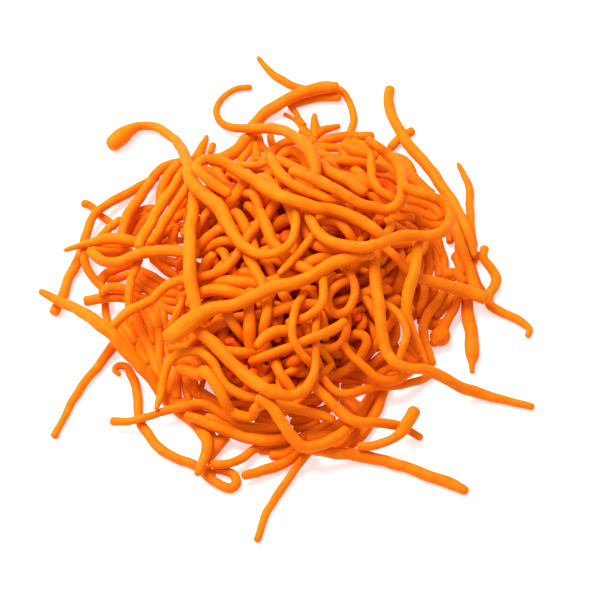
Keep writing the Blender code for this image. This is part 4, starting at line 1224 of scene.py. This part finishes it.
def draw_seen_strands(strands, name, crossings=(), free=0):
    """Draw one group of the short strands that show, all tucked in but for the first few."""
    tube = TubeMesh()
    first, apart = SHORT_SEEDS
    for k, (width, *route) in enumerate(strands):
        line = heap().lay_seen(f"{name}_{k}", width, route, tucked=k >= free)
        tube.add_strand(line, INNER_SIDES, first + apart * len(heap().names))
    for k, (over, (width, *route)) in enumerate(crossings):
        line = heap().lay_seen(f"crossing_{k}", width, route, over)
        tube.add_strand(line, INNER_SIDES, first + apart * len(heap().names))
    return finish_inner(tube, name, "inner")


class CordycepsOperator:
    """What the drawing operators share."""

    bl_options = {"REGISTER", "UNDO"}


class CORDYCEPS_OT_left_strands(CordycepsOperator, bpy.types.Operator):
    """Draw the long strands of the left side"""

    bl_idname = "cordyceps.left_strands"
    bl_label = "Left strands"

    def execute(self, context):
        return draw_long_strands(long_strands(LEFT_NAMES))


class CORDYCEPS_OT_front_strands(CordycepsOperator, bpy.types.Operator):
    """Draw the long strands of the front"""

    bl_idname = "cordyceps.front_strands"
    bl_label = "Front strands"

    def execute(self, context):
        return draw_long_strands(long_strands(FRONT_NAMES))


class CORDYCEPS_OT_right_strands(CordycepsOperator, bpy.types.Operator):
    """Draw the long strands of the right side"""

    bl_idname = "cordyceps.right_strands"
    bl_label = "Right strands"

    def execute(self, context):
        return draw_long_strands(long_strands(RIGHT_NAMES))


class CORDYCEPS_OT_back_strands(CordycepsOperator, bpy.types.Operator):
    """Draw the long strands of the back"""

    bl_idname = "cordyceps.back_strands"
    bl_label = "Back strands"

    def execute(self, context):
        return draw_long_strands(long_strands(BACK_NAMES))


class CORDYCEPS_OT_crown_strands(CordycepsOperator, bpy.types.Operator):
    """Draw the long strands that lie across the top of the heap"""

    bl_idname = "cordyceps.crown_strands"
    bl_label = "Crown strands"

    def execute(self, context):
        sides = LEFT_NAMES + FRONT_NAMES + RIGHT_NAMES + BACK_NAMES
        return draw_long_strands([n for n in long_strands(("",)) if not n.startswith(sides)])


class CORDYCEPS_OT_short_strands(CordycepsOperator, bpy.types.Operator):
    """Draw the short strands that show between the long ones"""

    bl_idname = "cordyceps.short_strands"
    bl_label = "Short strands"

    def execute(self, context):
        draw_seen_strands(MIDDLE_RIGHT, "short_strands_middle_right", CROSSING)
        draw_seen_strands(UPPER_LEFT, "short_strands_upper_left")
        draw_seen_strands(UPPER_RIGHT, "short_strands_upper_right")
        draw_seen_strands(MIDDLE, "short_strands_middle")
        draw_seen_strands(RIGHT, "short_strands_right")
        draw_seen_strands(FRONT, "short_strands_front")
        draw_seen_strands(LEFT, "short_strands_left")
        draw_seen_strands(BACK, "short_strands_back", free=FREE_BACK_TIPS)
        return draw_seen_strands(FILLING, "short_strands_filling")


class CORDYCEPS_OT_buried_strands(CordycepsOperator, bpy.types.Operator):
    """Fill the heap with the strands that are buried in it"""

    bl_idname = "cordyceps.buried_strands"
    bl_label = "Buried strands"

    def execute(self, context):
        settings = context.scene.cordyceps_heap
        random = np.random.default_rng(settings.buried_seed)
        tubes = [TubeMesh() for _ in range(BURIED_PIECES)]
        first, apart = BURIED_SEEDS
        for k in range(settings.buried_count):
            width = random.uniform(settings.buried_thin, settings.buried_thick) / MM
            path = heap().wander(random, random.uniform(*BURIED_LENGTHS))
            level = DEEPEST * random.uniform(0.0, 1.0) * (k / settings.buried_count)
            line = heap().lay_buried(f"buried_{k}", width, path, level)
            tube = tubes[k * BURIED_PIECES // settings.buried_count]
            tube.add_strand(line, BURIED_SIDES, first + apart * k)
        for k, tube in enumerate(tubes):
            finish_inner(tube, f"buried_strands_{k + 1}", "buried" if k else "inner")
        return {"FINISHED"}


FLOOR_GAP = 0.02 * MM
SENSOR_WIDTH = 36.0


class CORDYCEPS_OT_stage(CordycepsOperator, bpy.types.Operator):
    """Set the floor, the soft light and the camera"""

    bl_idname = "cordyceps.stage"
    bl_label = "Stage"

    def execute(self, context):
        settings = context.scene.cordyceps_stage
        scene = context.scene
        scene.view_settings.view_transform = "Standard"
        scene.cycles.diffuse_bounces = settings.bounces
        world = bpy.data.worlds.new("soft_room")
        world.use_nodes = True
        world.node_tree.nodes["Background"].inputs["Color"].default_value = (1.0, 1.0, 1.0, 1.0)
        world.node_tree.nodes["Background"].inputs["Strength"].default_value = settings.sky
        scene.world = world
        half = settings.board_size / 2
        mesh = bpy.data.meshes.new("floor")
        corners = [(-half, -half, 0), (half, -half, 0), (half, half, 0), (-half, half, 0)]
        mesh.from_pydata(corners, [], [(0, 1, 2, 3)])
        floor = bpy.data.objects.new("floor", mesh)
        floor.location.z = -FLOOR_GAP
        scene.collection.objects.link(floor)
        mesh.materials.append(opal_board(settings))
        lamp = bpy.data.lights.new("softbox", "AREA")
        lamp.size = settings.softbox_size
        lamp.energy = settings.softbox_power
        box = bpy.data.objects.new("softbox", lamp)
        box.location = settings.softbox_place
        box.rotation_mode = "QUATERNION"
        box.rotation_quaternion = Vector(settings.softbox_place).to_track_quat("Z", "Y")
        scene.collection.objects.link(box)
        camera = bpy.data.cameras.new("camera")
        camera.sensor_width = SENSOR_WIDTH
        camera.lens = settings.lens
        distance = settings.view_width * settings.lens / camera.sensor_width
        camera.clip_start = distance * 0.01
        camera.clip_end = distance * 10.0
        eye = bpy.data.objects.new("camera", camera)
        towards = Vector((0.0, -LEAN_COS, LEAN_SIN))
        eye.location = Vector(heap().shift) * MM + towards * distance
        eye.rotation_mode = "QUATERNION"
        eye.rotation_quaternion = towards.to_track_quat("Z", "Y")
        scene.collection.objects.link(eye)
        scene.camera = eye
        return {"FINISHED"}


DRAWING = (
    CORDYCEPS_OT_stage,
    CORDYCEPS_OT_left_strands,
    CORDYCEPS_OT_front_strands,
    CORDYCEPS_OT_right_strands,
    CORDYCEPS_OT_back_strands,
    CORDYCEPS_OT_crown_strands,
    CORDYCEPS_OT_short_strands,
    CORDYCEPS_OT_buried_strands,
)


class CORDYCEPS_PT_panel(bpy.types.Panel):
    """Lists the settings and the drawing steps"""

    bl_idname = "CORDYCEPS_PT_panel"
    bl_label = "Cordyceps bunch"
    bl_space_type = "VIEW_3D"
    bl_region_type = "UI"
    bl_category = "Cordyceps"

    def draw(self, context):
        for settings in SETTINGS:
            group = getattr(context.scene, settings)
            box = self.layout.box()
            for name in group.__annotations__:
                box.prop(group, name)
        for operator in DRAWING:
            self.layout.operator(operator.bl_idname)


SETTINGS = {
    "cordyceps_flesh": CordycepsFlesh,
    "cordyceps_heap": CordycepsHeap,
    "cordyceps_stage": CordycepsStage,
}


def register():
    """Register the settings, operators and panel."""
    for name, group in SETTINGS.items():
        bpy.utils.register_class(group)
        setattr(bpy.types.Scene, name, bpy.props.PointerProperty(type=group))
    for operator in DRAWING:
        bpy.utils.register_class(operator)
    bpy.utils.register_class(CORDYCEPS_PT_panel)


def unregister():
    """Undo register."""
    bpy.utils.unregister_class(CORDYCEPS_PT_panel)
    for operator in reversed(DRAWING):
        bpy.utils.unregister_class(operator)
    for name, group in reversed(list(SETTINGS.items())):
        delattr(bpy.types.Scene, name)
        bpy.utils.unregister_class(group)


def main():
    """Draw the whole bunch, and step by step."""
    register()
    for operator in DRAWING:
        family, step = operator.bl_idname.split(".")
        getattr(getattr(bpy.ops, family), step)()


if __name__ == "__main__":
    main()
